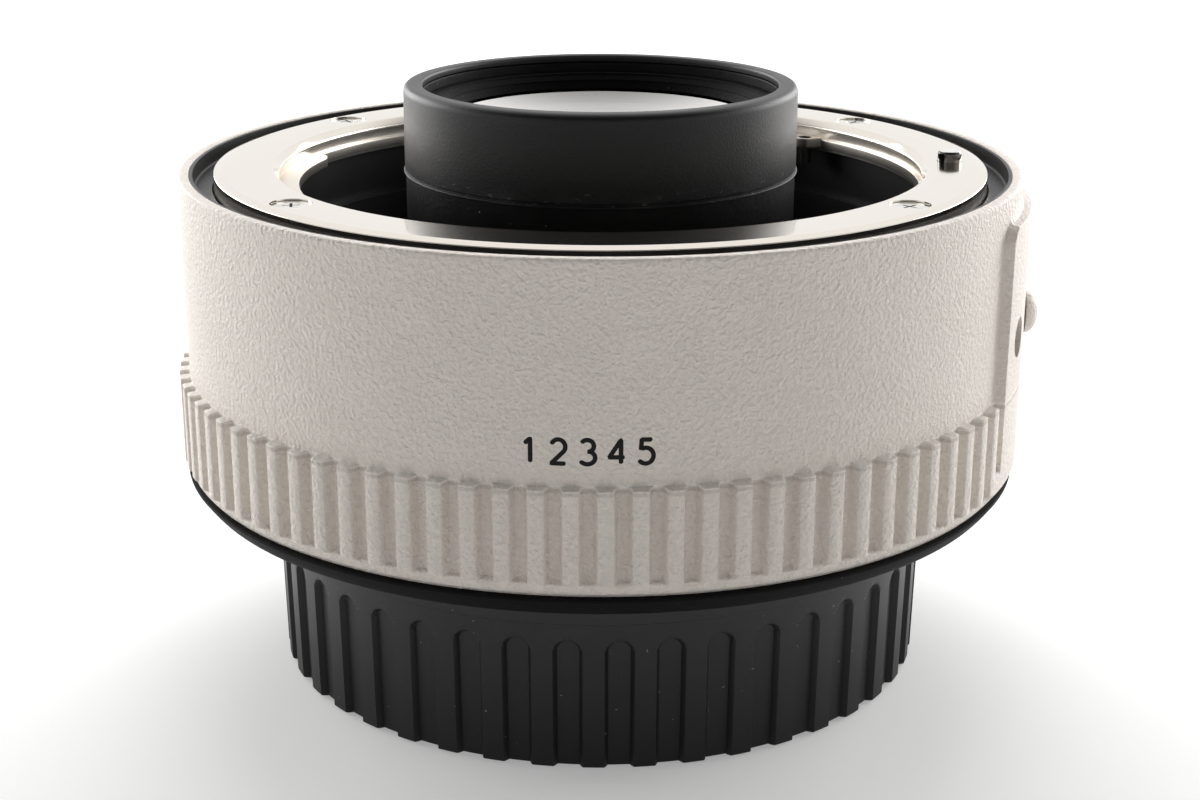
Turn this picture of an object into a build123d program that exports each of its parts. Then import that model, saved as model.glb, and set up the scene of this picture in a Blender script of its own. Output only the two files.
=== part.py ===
from build123d import *
import math
import os

# A tele extender for an SLR camera, standing on its rear cap. Millimetres and degrees.
# The origin is the centre of the cap's flat foot. +Z is the optical axis and points to the lens, and
# azimuths are counted from +X towards +Y. The engraved side of the barrel faces -Y.

# Overall
flange_distance = 27.2
cap_height = 15.9
barrel_radius = 35.38
slip = 0.05
overrun = 1.0
full_turn = 360
halves = 2

# Outer barrel
barrel_wall = 1.78
rim_height_below_face = 0.1
rim_wall = 0.88
rim_rounding = 0.3
rim_inner_rounding = 0.12
channel_width = 1.85
channel_depth = 1.9
barrel_lip_thickness = 0.8
cover_height = 2.35
barrel_inner_radius = barrel_radius - barrel_wall
rim_inner_radius = barrel_radius - rim_wall
barrel_lip_radius = rim_inner_radius - channel_width

# Grip ribs
rib_count = 90
rib_phase_angle = 0.7
rib_angle = 2.1
rib_height = 0.86
rib_band_height = 8.15
rib_top_slope = 0.5
rib_foot_slope = 0.45
grip_lip_height = 0.8
grip_lip_reach = 0.37
grip_lip_foot_reach = 0.07
rib_radius = barrel_radius + rib_height
grip_lip_radius = barrel_radius + grip_lip_reach
grip_lip_foot_radius = barrel_radius + grip_lip_foot_reach

# Lens mount ring
mount_ring_gap = 0.15
mount_ring_width = 5.5
mount_ring_thickness = 2.4
mount_bevel_width = 0.8
mount_bevel_depth = 0.14
mouth_bevel = 0.55
mouth_clearance = 0.1
undercut_depth = 0.35
undercut_top = 0.85
undercut_height = 0.8
mount_screw_azimuth = 37.5
mount_screw_inset = 2.6
mount_screw_radius = 0.95
mount_screw_head_radius = 1.5
mount_screw_head_height = 0.65
mount_screw_length = 6.0
mount_screw_sink = 0.3
screw_recess_radius = 1.65
cross_slot_width = 0.35
cross_slot_depth = 0.3
thread_clearance = 0.05
mount_ring_radius = barrel_lip_radius - mount_ring_gap
throat_radius = mount_ring_radius - mount_ring_width
mount_screw_circle = mount_ring_radius - mount_screw_inset

# Bayonet geometry, alike on the lens side and on the camera side
lug_azimuths = (70, 190, 310)
gap_azimuths = (10, 130, 250)
lug_depth = 1.5
lug_thickness = 0.9
lug_angle = 60
lug_inner_radius = throat_radius - lug_depth

# Leaf ring under the lugs and the stop for the lens
leaf_sheet = 0.3
leaf_ring_margin = 0.15
leaf_ring_inset = 0.2
leaf_inset = 0.4
leaf_drop = 1.6
leaf_angle = 30
leaf_riser_angle = 3
stop_pin_radius = 0.6
stop_pin_reach = 1.5
stop_pin_inset = 0.7
stop_pin_angle = 3
leaf_ring_inner = throat_radius + leaf_ring_margin
leaf_ring_radius = mount_ring_radius - leaf_ring_inset
leaf_inner_radius = lug_inner_radius + leaf_inset
stop_pin_circle = throat_radius - stop_pin_inset

# Raised pad with the release knob
pad_azimuth = -7.3
pad_half_angle = 19.05
pad_top_below_face = 2.4
pad_foot_rise = 2.35
pad_corner = 1.5
knob_below_face = 12.2
pad_screw_angle = 13
pad_recess_radius = 1.7
pad_recess_depth = 1.25

# Release knob, slider and guide
release_angle = 5
knob_radius = 1.8
knob_dome = 1.1
knob_seat_gap = 0.12
knob_stud_radius = 0.75
knob_slot_clearance = 0.25
slider_thickness = 1.0
slider_foot_below_knob = 2.0
slider_top_above_dowel = 1.4
slider_lead_angle = 9.5
slider_trail_angle = 11.5
slider_clearance = 0.15
guide_gap = 0.3
guide_thickness = 0.85
guide_margin = 1.2
guide_half_angle = 20
guide_screw_radius = 0.7
guide_screw_head_radius = 1.45
guide_screw_head_height = 0.5
guide_radius = barrel_inner_radius - slip
guide_inner_radius = guide_radius - guide_thickness
slider_radius = guide_inner_radius - guide_gap
slider_inner_radius = slider_radius - slider_thickness

# Lens lock pin
lock_pin_azimuth = -2
lock_pin_inset = 2.9
lock_pin_radius = 1.0
lock_pin_proud = 0.9
lock_pin_length = 9.3
lock_pin_tip = 0.15
lock_pin_travel = 1.3
lock_pin_clearance = 0.05
dowel_radius = 0.4
dowel_below_face = 6.8
dowel_clearance = 0.08
dowel_fit = 0.03
dowel_tail = 0.7
dowel_inset = 0.1
lock_spring_wire = 0.15
lock_spring_radius = 0.7
lock_spring_length = 4.1
lock_spring_turns = 6
lock_pin_circle = mount_ring_radius - lock_pin_inset
dowel_inner_radius = lock_pin_circle - dowel_tail
dowel_outer_radius = slider_radius - dowel_inset

# Front trim ring in the channel
trim_floor = 0.4
trim_wall = 0.45
trim_below_rim = 0.25

# Inner chassis and the floor plate that is pressed into it
chassis_clearance = 0.1
chassis_flange_thickness = 1.8
chassis_slider_gap = 0.3
chassis_wall = 2.3
cavity_margin = 1.0
cavity_step_depth = 7.0
cavity_depth = 11.2
floor_thickness = 1.6
floor_bore_clearance = 0.05
post_share = 0.484
post_radius = 1.6
post_azimuths = (30, 150, 90)
flex_slot_margin = 0.3
chassis_flange_radius = barrel_inner_radius - chassis_clearance
chassis_wall_radius = slider_inner_radius - chassis_slider_gap
chassis_lower_bore = chassis_wall_radius - chassis_wall
cavity_radius = throat_radius + cavity_margin

# Lens tube and its sleeve
lens_gap_share = 0.3926
tube_neck_step = 0.55
tube_rear_step = 1.4
tube_foot_rise = 1.3
tube_flange_width = 3.1
tube_flange_thickness = 1.75
tube_neck_foot_below_face = 0.55
tube_top_above_ring = 0.71
tube_screw_inset = 1.5
tube_screw_azimuths = (60, 180, 300)
tube_screw_radius = 0.7
tube_screw_head_radius = 1.2
tube_screw_head_height = 0.65
tube_screw_length = 3.0
sleeve_wall = 0.7
sleeve_lip_reach = 0.15
sleeve_lip_height = 0.35
sleeve_mouth_reach = 0.85
sleeve_top_thickness = 0.6
sleeve_rounding = 0.5
tube_radius = throat_radius - throat_radius * lens_gap_share
tube_neck_radius = tube_radius - tube_neck_step
tube_rear_radius = tube_radius - tube_rear_step
tube_flange_radius = tube_radius + tube_flange_width
tube_screw_circle = tube_flange_radius - tube_screw_inset
sleeve_radius = tube_neck_radius + slip + sleeve_wall
sleeve_lip_radius = sleeve_radius + sleeve_lip_reach
sleeve_mouth_radius = tube_neck_radius - sleeve_mouth_reach
post_circle = tube_flange_radius + (chassis_lower_bore - tube_flange_radius) * post_share

# Glass, from the lens side to the camera side. Curves are shares of the glass's own radius.
front_glass_wall = 2.25
rear_glass_wall = 2.45
glass_slip = 0.05
pair_below_face = 8.8
element_1_thickness = 2.51
element_1_front_share = 4.41
element_1_rear_share = 5.88
air_gap = 3.44
element_2_thickness = 1.5
element_2_front_share = 4.41
cement_share = 3.68
cement_gap = 0.02
element_3_thickness = 4.5
element_3_rear_share = 5.15
element_4_thickness = 1.5
element_4_front_share = 3.6
element_4_rear_share = 4.8
rear_air_gap = 2.71
element_5_thickness = 5.32
element_5_front_share = 4.0
element_5_rear_share = 5.6
spacer_wall = 1.0
shoulder_width = 0.7
front_glass_radius = tube_neck_radius - front_glass_wall
rear_glass_radius = tube_rear_radius - glass_slip - rear_glass_wall
shoulder_inner_radius = rear_glass_radius - shoulder_width
element_1_front_curve = front_glass_radius * element_1_front_share
element_1_rear_curve = front_glass_radius * element_1_rear_share
element_2_front_curve = front_glass_radius * element_2_front_share
cement_curve = front_glass_radius * cement_share
element_3_rear_curve = front_glass_radius * element_3_rear_share
element_4_front_curve = rear_glass_radius * element_4_front_share
element_4_rear_curve = rear_glass_radius * element_4_rear_share
element_5_front_curve = rear_glass_radius * element_5_front_share
element_5_rear_curve = rear_glass_radius * element_5_rear_share

# Threaded rings that hold the glass
front_ring_wall = 1.0
front_ring_overlap = 1.0
front_ring_height = 1.45
front_ring_lip = 0.85
front_ring_land = 0.35
rear_ring_overlap = 1.1
rear_ring_height = 1.7
spanner_slot_width = 1.2
spanner_slot_depth = 0.6
spanner_slot_reach = 0.7
front_ring_radius = tube_neck_radius - front_ring_wall
front_ring_inner_radius = front_glass_radius - front_ring_overlap
front_ring_mouth_radius = front_ring_radius - front_ring_lip
rear_ring_inner_radius = rear_glass_radius - rear_ring_overlap

# Front contact block, between the lens tube and the cavity's wall
contact_count = 11
contact_pitch_angle = 5.5
contact_azimuth = 270
block_tube_gap = 3.2
block_wall_gap = 0.1
block_half_angle = 37
block_height = 4.4
backplate_thickness = 0.6
backplate_inset = 0.2
pin_radius = 0.48
pin_collar_radius = 0.58
pin_bore_radius = 0.64
pin_mouth_radius = 0.53
pin_mouth_depth = 0.6
pin_collar_height = 0.9
pin_play = 0.1
pin_proud = 0.8
pin_tip = 0.25
pin_spring_wire = 0.06
pin_spring_radius = 0.45
pin_spring_turns = 5
block_screw_angle = 33.5
block_screw_radius = 0.7
block_screw_head_radius = 1.15
block_screw_head_height = 0.65
block_screw_bite = 1.3
block_inner_radius = tube_radius + block_tube_gap
block_outer_radius = throat_radius - block_wall_gap
contact_circle = (block_inner_radius + block_outer_radius) / halves

# Circuit board
board_inner_gap = 0.8
board_outer_gap = 0.4
board_rise_share = 0.229
board_thickness = 1.0
board_screw_radius = 0.75
board_screw_head_radius = 1.4
board_screw_head_height = 0.8
board_screw_length = 5.0
chip_height = 0.9
chip_azimuths = (180, 205, 228, 335, 358, 60)
chip_lengths = (6.0, 3.5, 3.0, 5.0, 3.0, 4.0)
chip_widths = (6.0, 3.0, 2.0, 5.0, 2.0, 4.0)
board_inner_radius = tube_rear_radius + board_inner_gap
board_radius = chassis_lower_bore - board_outer_gap
chip_circle = (board_inner_radius + board_radius) / halves

# Printed flex strips and their connectors
flex_width = 5.0
flex_thickness = 0.2
front_flex_gap = 4.6
rear_flex_gap = 5.0
connector_width = 6.4
connector_depth = 2.4
connector_height = 1.4
front_flex_circle = tube_radius + front_flex_gap
rear_flex_circle = tube_rear_radius + rear_flex_gap

# Rear mount ring, the male bayonet
cover_reach = 0.57
cover_foot_inset = 1.15
cover_foot_width = 3.3
rear_ring_thickness = 2.2
rear_step_width = 2.1
rear_step_height = 0.85
rear_recess_margin = 0.4
rear_recess_depth = 0.8
male_lug_clearance = 0.15
male_lug_depth = 1.65
male_tube_wall = 1.6
male_tube_length = 4.1
male_lug_angle = 50
male_lug_drop = 2.55
male_lug_thickness = 1.4
rear_screw_azimuths = (42, 138, 222, 318)
rear_screw_inset = 2.0
rear_screw_radius = 0.95
rear_screw_head_radius = 1.6
rear_screw_head_height = 0.7
rear_screw_length = 4.4
rear_screw_sink = 0.1
cover_radius = barrel_radius + cover_reach
cover_foot_radius = cover_radius - cover_foot_inset
rear_ring_radius = cover_foot_radius - cover_foot_width
rear_step_radius = rear_ring_radius - rear_step_width
rear_screw_circle = rear_step_radius - rear_screw_inset
male_lug_radius = throat_radius - male_lug_clearance
male_tube_radius = male_lug_radius - male_lug_depth
rear_ring_bore = male_tube_radius - male_tube_wall
rear_recess_radius = male_tube_radius + rear_recess_margin

# Rear plate and shim
rear_plate_thickness = 2.4
rear_plate_screw_azimuths = (90, 210, 330)
rear_plate_screw_radius = 0.75
rear_plate_screw_head_radius = 1.35
rear_plate_screw_head_height = 0.9
rear_plate_screw_length = 5.0
rear_plate_screw_sink = 0.1
shim_thickness = 0.2
shim_inner_margin = 0.1
shim_inset = 0.9
rear_plate_inner_radius = rear_ring_bore
rear_plate_screw_circle = (chassis_lower_bore + chassis_wall_radius) / halves
shim_inner_radius = rear_recess_radius + shim_inner_margin
shim_radius = rear_step_radius - shim_inset

# Rear cover, the black band
cover_foot_rise = 0.3
cover_bore_gap = 0.1
cover_foot_rounding = 0.3

# Rear baffle
baffle_clearance = 0.1
baffle_drop = 1.8
baffle_window_step = 3.0
baffle_mouth_step = 0.4
baffle_plate = 1.0
baffle_funnel_height = 2.4
baffle_radius = rear_ring_bore - baffle_clearance
baffle_flange_radius = rear_recess_radius - baffle_clearance
baffle_window_radius = tube_rear_radius - baffle_window_step
baffle_mouth_radius = tube_rear_radius - baffle_mouth_step

# Rear contact block
rear_block_inset = 0.15
rear_block_width = 4.45
rear_block_half_angle = 31
rear_block_height = 3.9
rear_pad_count = 8
rear_pad_pitch_angle = 6.0
rear_pad_angle = 3.6
rear_pad_margin = 1.0
rear_pad_thickness = 0.35
rear_pad_proud = 0.05
rear_block_screw_angle = 27.5
rear_block_screw_radius = 0.6
rear_block_screw_head_radius = 1.0
rear_block_screw_head_height = 0.6
rear_block_screw_length = 5.6
rear_block_outer_radius = baffle_radius - rear_block_inset
rear_block_inner_radius = rear_block_outer_radius - rear_block_width
rear_pad_inner_radius = rear_block_inner_radius + rear_pad_margin
rear_pad_outer_radius = rear_block_outer_radius - rear_pad_margin
rear_block_screw_circle = (rear_block_inner_radius + rear_block_outer_radius) / halves

# Rear cap
cap_wall = 1.3
cap_draft = 0.4
cap_band_reach = 0.15
cap_band_height = 3.35
cap_rim_gap = 0.05
cap_bore_clearance = 0.3
cap_bore_ledge = 0.95
cap_bore_depth = 6.05
cap_floor = 2.0
cap_foot_chamfer = 0.3
cap_groove_count = 44
cap_groove_phase_angle = 3.2
cap_groove_radius = 1.065
cap_groove_below_band = 1.4
cap_groove_depth = 0.5
cap_land_inset = 1.55
cap_land_height = 0.3
cap_lug_clearance = 0.12
cap_lug_angle = 50
cap_lug_thickness = 1.0
cap_lug_gap = 0.2
cap_upper_bore = male_lug_radius + cap_bore_clearance
cap_lower_bore = cap_upper_bore - cap_bore_ledge
cap_top_radius = cap_upper_bore + cap_wall
cap_foot_radius = cap_top_radius - cap_draft
cap_band_radius = cap_top_radius + cap_band_reach
cap_lug_inner_radius = male_tube_radius + cap_lug_gap

# Red index dots
index_azimuth = 90
lens_dot_radius = 1.0
lens_dot_below_face = 1.9
lens_dot_depth = 0.4
camera_dot_radius = 0.8
camera_dot_proud = 0.35
camera_dot_depth = 0.6

# Heights that follow from the above
lens_face = cap_height + flange_distance
rear_face = cap_height
ring_foot = lens_face - mount_ring_thickness
lug_top = ring_foot + lug_thickness
rim_top = lens_face - rim_height_below_face
barrel_foot = rear_face + cover_height
channel_floor = lens_face - channel_depth
chassis_top = ring_foot - leaf_sheet
barrel_lip_foot = channel_floor - barrel_lip_thickness
rib_band_top = barrel_foot + rib_band_height
pad_foot_height = barrel_foot + pad_foot_rise
knob_height = lens_face - knob_below_face
dowel_height = lens_face - dowel_below_face
slider_foot = knob_height - slider_foot_below_knob
slider_top = dowel_height + slider_top_above_dowel
lock_pin_foot = lens_face + lock_pin_proud - lock_pin_length
lock_spring_seat = lock_pin_foot - lock_spring_length
cavity_step = lens_face - cavity_step_depth
floor_top = lens_face - cavity_depth
floor_foot = floor_top - floor_thickness
rear_plate_foot = rear_face + rear_ring_thickness + shim_thickness
chassis_foot = rear_plate_foot + rear_plate_thickness
board_foot = chassis_foot + (floor_foot - chassis_foot) * board_rise_share
board_top = board_foot + board_thickness
block_foot = floor_top + backplate_thickness
block_top = block_foot + block_height
pin_top = block_top + pin_proud
pin_foot = block_top - pin_mouth_depth - pin_play - pin_collar_height
block_screw_foot = floor_top - block_screw_bite
baffle_foot = rear_face - baffle_drop
rear_block_foot = baffle_foot - rear_block_height
tube_foot = rear_face + tube_foot_rise
tube_neck_foot = lens_face - tube_neck_foot_below_face
cap_top = rear_face - cap_rim_gap
cap_band_foot = cap_top - cap_band_height
cap_groove_top = cap_band_foot - cap_groove_below_band
cap_bore_step = cap_top - cap_bore_depth


def turned(points, sweep=full_turn, start=0):
    """A solid turned about the optical axis from (radius, height) points."""
    profile = make_face(Polyline(*points, close=True))
    return Rot(0, 0, start) * revolve(Plane.XZ * profile, Axis.Z, sweep)


def ring(inner, outer, low, high, sweep=full_turn, start=0):
    """A plain ring, or a part of one, between two heights."""
    points = [(inner, low), (outer, low), (outer, high), (inner, high)]
    return turned(points, sweep, start)


def post(radius, low, high, circle=0, azimuth=0):
    """An upright cylinder at a place on a circle."""
    shape = Cylinder(radius, high - low, align=(Align.CENTER, Align.CENTER, Align.MIN))
    return Rot(0, 0, azimuth) * Pos(circle, 0, low) * shape


def radial(shape, azimuth, reach, height):
    """Turns a shape whose own axis is Z to point outwards at an azimuth."""
    return Rot(0, 0, azimuth) * Pos(reach, 0, height) * Rot(0, 90, 0) * shape


def radial_pin(radius, inner, outer, azimuth, height):
    """A cylinder that points outwards, from one radius to another."""
    pin = Cylinder(radius, outer - inner, align=(Align.CENTER, Align.CENTER, Align.MIN))
    return radial(pin, azimuth, inner, height)


def coil(wire, radius, turns, low, high):
    """A compression spring as one wire, its ends at the two heights."""
    rise = high - low - halves * wire
    path = Helix(rise / turns, rise, radius)
    section = Plane(origin=path @ 0, z_dir=path % 0) * Circle(wire)
    return Pos(0, 0, low + wire) * sweep(section, path)


def screw(radius, length, head_radius, head_height, slot_width, slot_depth):
    """A cross-slotted screw, its head's outer face at z = 0 and its tip down."""
    shank = post(radius, -length, -head_height + slip)
    head = post(head_radius, -head_height, 0)
    blank = shank + head
    bar = Box(head_radius, slot_width, halves * slot_depth)
    return blank - bar - Rot(0, 0, full_turn / 4) * bar


def around(shape, azimuths):
    """Copies of a shape turned about the axis to each azimuth."""
    return [Rot(0, 0, azimuth) * shape for azimuth in azimuths]


def bulge(radius, curve):
    """How far a spherical surface falls from its apex at a radius."""
    return curve - math.sqrt(curve**2 - radius**2)


def glass(radius, apex, front, rear_apex, rear):
    """A lens between two spherical faces. A positive curve bulges outwards."""
    front_fall = math.copysign(bulge(radius, abs(front)), front)
    rear_fall = math.copysign(bulge(radius, abs(rear)), rear)
    middle = radius / halves
    front_middle = math.copysign(bulge(middle, abs(front)), front)
    rear_middle = math.copysign(bulge(middle, abs(rear)), rear)
    edge_top = apex - front_fall
    edge_foot = rear_apex + rear_fall
    outline = [
        ThreePointArc((0, apex), (middle, apex - front_middle), (radius, edge_top)),
        Line((radius, edge_top), (radius, edge_foot)),
        ThreePointArc((radius, edge_foot), (middle, rear_apex + rear_middle), (0, rear_apex)),
        Line((0, rear_apex), (0, apex)),
    ]
    return revolve(Plane.XZ * make_face(Curve() + outline), Axis.Z)


def mount_screw_places():
    """Azimuths of the four screws of the lens mount ring."""
    across = full_turn / halves
    return [
        mount_screw_azimuth,
        across - mount_screw_azimuth,
        across + mount_screw_azimuth,
        full_turn - mount_screw_azimuth,
    ]


def lens_mount_ring():
    mouth_radius = throat_radius + mouth_clearance
    undercut_radius = mouth_radius + undercut_depth
    undercut_foot = undercut_top + undercut_height
    points = [
        (throat_radius, ring_foot),
        (mount_ring_radius, ring_foot),
        (mount_ring_radius, lens_face - mount_bevel_depth),
        (mount_ring_radius - mount_bevel_width, lens_face),
        (mouth_radius + mouth_bevel, lens_face),
        (mouth_radius, lens_face - mouth_bevel),
        (mouth_radius, lens_face - undercut_top),
        (undercut_radius, lens_face - undercut_top),
        (undercut_radius, lens_face - undercut_foot),
        (throat_radius, lens_face - undercut_foot),
    ]
    body = turned(points)
    lug = ring(lug_inner_radius, throat_radius + slip, ring_foot, lug_top, lug_angle, -lug_angle / halves)
    for copy in around(lug, lug_azimuths):
        body += copy
    hole = post(mount_screw_radius + thread_clearance, ring_foot - overrun, lens_face, mount_screw_circle)
    sink = mount_screw_sink + mount_screw_head_height
    recess = post(screw_recess_radius, lens_face - sink, lens_face + overrun, mount_screw_circle)
    for copy in around(hole + recess, mount_screw_places()):
        body -= copy
    pin_hole = lock_pin_radius + lock_pin_clearance
    body -= post(pin_hole, ring_foot - overrun, lens_face + overrun, lock_pin_circle, lock_pin_azimuth)
    stop_hole = post(stop_pin_radius + slip, ring_foot - overrun, lug_top + overrun, stop_pin_circle)
    return body - Rot(0, 0, stop_azimuth()) * stop_hole


def stop_azimuth():
    """The stop pin stands at the end of the last lug, where a lens's lug comes to rest."""
    return lug_azimuths[0] - lug_angle / halves + stop_pin_angle


def rotation_stop_pin():
    low = ring_foot - stop_pin_reach
    return post(stop_pin_radius, low, lug_top, stop_pin_circle, stop_azimuth())


def lens_mount_screws():
    one = screw(
        mount_screw_radius,
        mount_screw_length,
        mount_screw_head_radius,
        mount_screw_head_height,
        cross_slot_width,
        cross_slot_depth,
    )
    placed = Pos(mount_screw_circle, 0, lens_face - mount_screw_sink) * one
    return around(placed, mount_screw_places())


def bayonet_spring():
    body = ring(leaf_ring_inner, leaf_ring_radius, chassis_top, ring_foot)
    leaf_foot = ring_foot - leaf_drop
    leaf_outer = cavity_radius - slip
    leaf = ring(leaf_inner_radius, leaf_outer, leaf_foot, leaf_foot + leaf_sheet, leaf_angle, -leaf_angle / halves)
    riser_start = leaf_angle / halves - leaf_riser_angle
    riser = ring(leaf_ring_inner, leaf_outer, leaf_foot, ring_foot, leaf_riser_angle, riser_start)
    for copy in around(leaf + riser, lug_azimuths):
        body += copy
    hole = post(mount_screw_radius + halves * thread_clearance, chassis_top - overrun, lens_face, mount_screw_circle)
    for copy in around(hole, mount_screw_places()):
        body -= copy
    pin_hole = lock_pin_radius + halves * lock_pin_clearance
    return body - post(pin_hole, chassis_top - overrun, lens_face, lock_pin_circle, lock_pin_azimuth)


def grip_ribs():
    """The upright ribs, left out where the pad is."""
    foot = barrel_foot + grip_lip_height - rib_foot_slope
    inner = barrel_radius - slip
    points = [
        (inner, foot),
        (barrel_radius, foot),
        (rib_radius, foot + rib_foot_slope),
        (rib_radius, rib_band_top - rib_top_slope),
        (barrel_radius, rib_band_top),
        (inner, rib_band_top),
    ]
    rib = turned(points, rib_angle, -rib_angle / halves)
    pitch = full_turn / rib_count
    first = -full_turn / 4 + rib_phase_angle
    ribs = []
    for number in range(rib_count):
        azimuth = first + number * pitch
        from_pad = (azimuth - pad_azimuth + full_turn / halves) % full_turn - full_turn / halves
        if abs(from_pad) > pad_half_angle + rib_angle / halves:
            ribs.append(Rot(0, 0, azimuth) * rib)
    return ribs


def pad():
    """The raised pad and the smooth stretch of the rib band below it, which runs to the next rib each side."""
    width = halves * rib_radius * math.sin(math.radians(pad_half_angle))
    top = lens_face - pad_top_below_face
    height = top - barrel_foot
    outline = Pos(-(barrel_foot + height / halves), 0) * RectangleRounded(height, width, pad_corner)
    block = Rot(0, 0, pad_azimuth) * Rot(0, 90, 0) * extrude(outline, rib_radius + overrun)
    half = pad_half_angle + full_turn / rib_count - rib_angle
    inner = barrel_inner_radius + overrun
    stretch = ring(inner, rib_radius + overrun, barrel_foot, pad_foot_height, halves * half, pad_azimuth - half)
    points = [
        (inner, barrel_foot),
        (grip_lip_foot_radius, barrel_foot),
        (rib_radius, barrel_foot + grip_lip_height),
        (rib_radius, top),
        (inner, top),
    ]
    return (block + stretch) & turned(points)


def knob_slot(half_width, inner, outer):
    """The slot that the knob's stud runs in, cut square to the pad."""
    arc = math.radians(release_angle) * barrel_radius
    middle = pad_azimuth + release_angle / halves
    slot = SlotCenterToCenter(arc, halves * half_width, rotation=90)
    return radial(extrude(slot, outer - inner), middle, inner, knob_height)


def outer_barrel():
    points = [
        (barrel_inner_radius, barrel_foot),
        (grip_lip_foot_radius, barrel_foot),
        (grip_lip_radius, barrel_foot + grip_lip_height),
        (barrel_radius, barrel_foot + grip_lip_height),
        (barrel_radius, rim_top),
        (rim_inner_radius, rim_top),
        (rim_inner_radius, channel_floor),
        (barrel_lip_radius, channel_floor),
        (barrel_lip_radius, barrel_lip_foot),
        (barrel_inner_radius, barrel_lip_foot),
    ]
    body = turned(points)
    rim = body.edges().filter_by(GeomType.CIRCLE).group_by(Axis.Z)[-1].sort_by(SortBy.RADIUS)
    body = fillet(rim[-1], rim_rounding)
    rim = body.edges().filter_by(GeomType.CIRCLE).group_by(Axis.Z)[-1].sort_by(SortBy.RADIUS)
    body = fillet(rim[0], rim_inner_rounding)
    body = body + grip_ribs() + pad()
    body -= knob_slot(knob_stud_radius + knob_slot_clearance, guide_radius - overrun, rib_radius + overrun)
    recess_floor = rib_radius - pad_recess_depth
    for offset in (-pad_screw_angle, pad_screw_angle):
        azimuth = pad_azimuth + offset
        body -= radial_pin(pad_recess_radius, recess_floor, rib_radius + overrun, azimuth, knob_height)
        hole = guide_screw_radius + thread_clearance
        body -= radial_pin(hole, guide_radius - overrun, rib_radius, azimuth, knob_height)
    dot = lens_dot_radius + slip
    dot_floor = barrel_radius - lens_dot_depth - slip
    body -= radial_pin(dot, dot_floor, barrel_radius + overrun, index_azimuth, lens_face - lens_dot_below_face)
    return body


def front_trim_ring():
    outer = rim_inner_radius - slip
    top = rim_top - trim_below_rim
    points = [
        (barrel_lip_radius, channel_floor),
        (outer, channel_floor),
        (outer, top),
        (outer - trim_wall, top),
        (outer - trim_wall, channel_floor + trim_floor),
        (barrel_lip_radius, channel_floor + trim_floor),
    ]
    return turned(points)


def inner_chassis():
    flange_foot = chassis_top - chassis_flange_thickness
    points = [
        (chassis_lower_bore, chassis_foot),
        (chassis_wall_radius, chassis_foot),
        (chassis_wall_radius, flange_foot),
        (chassis_flange_radius, flange_foot),
        (chassis_flange_radius, chassis_top),
        (cavity_radius, chassis_top),
        (cavity_radius, cavity_step),
        (throat_radius, cavity_step),
        (throat_radius, floor_top),
        (chassis_lower_bore, floor_top),
    ]
    body = turned(points)
    screw_foot = lens_face - mount_screw_sink - mount_screw_length - thread_clearance
    screw_hole = post(mount_screw_radius + thread_clearance, screw_foot, lens_face, mount_screw_circle)
    for copy in around(screw_hole, mount_screw_places()):
        body -= copy
    pin_hole = lock_pin_radius + lock_pin_clearance
    body -= post(pin_hole, lock_spring_seat, lens_face, lock_pin_circle, lock_pin_azimuth)
    body -= dowel_window()
    plate_hole = post(
        rear_plate_screw_radius + thread_clearance,
        chassis_foot - overrun,
        rear_plate_foot + rear_plate_screw_sink + rear_plate_screw_length + thread_clearance,
        rear_plate_screw_circle,
    )
    for copy in around(plate_hole, rear_plate_screw_azimuths):
        body -= copy
    return body


def chassis_floor():
    """The plate pressed into the chassis, with the posts that carry the circuit board."""
    body = ring(tube_radius + floor_bore_clearance, chassis_lower_bore - slip, floor_foot, floor_top)
    leg = post(post_radius, board_top, floor_foot + slip, post_circle)
    leg_hole = post(board_screw_radius + thread_clearance, board_top - overrun, board_foot + board_screw_length, post_circle)
    for copy in around(leg, post_azimuths):
        body += copy
    for copy in around(leg_hole, post_azimuths):
        body -= copy
    tube_hole = post(tube_screw_radius + thread_clearance, floor_foot - overrun, tube_screw_top(), tube_screw_circle)
    for copy in around(tube_hole, tube_screw_azimuths):
        body -= copy
    block_hole = post(block_screw_radius + thread_clearance, block_screw_foot, floor_top + overrun, contact_circle)
    for copy in around(block_hole, block_screw_places()):
        body -= copy
    width = flex_width + halves * flex_slot_margin
    depth = flex_thickness + halves * flex_slot_margin
    slot = Box(width, depth, floor_thickness + halves * overrun)
    return body - Pos(0, -front_flex_circle, floor_top - floor_thickness / halves) * slot


def dowel_window():
    """The upright slot in the chassis wall that the dowel moves in."""
    half_width = dowel_radius + halves * dowel_clearance
    middle = dowel_height - lock_pin_travel / halves
    slot = SlotCenterToCenter(lock_pin_travel, halves * half_width)
    length = chassis_wall_radius + overrun - lock_pin_circle
    return radial(extrude(slot, length), lock_pin_azimuth, lock_pin_circle, middle)


def lens_lock_pin():
    pin = post(lock_pin_radius, lock_pin_foot, lens_face + lock_pin_proud)
    pin = chamfer(pin.edges().group_by(Axis.Z)[-1], lock_pin_tip)
    pin = Rot(0, 0, lock_pin_azimuth) * Pos(lock_pin_circle, 0, 0) * pin
    bore = radial_pin(dowel_radius + dowel_fit, dowel_inner_radius - overrun, slider_radius, lock_pin_azimuth, dowel_height)
    return pin - bore


def lock_pin_dowel():
    return radial_pin(dowel_radius, dowel_inner_radius, dowel_outer_radius, lock_pin_azimuth, dowel_height)


def lock_pin_spring():
    spring = coil(lock_spring_wire, lock_spring_radius, lock_spring_turns, lock_spring_seat, lock_pin_foot)
    return Rot(0, 0, lock_pin_azimuth) * Pos(lock_pin_circle, 0, 0) * spring


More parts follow.
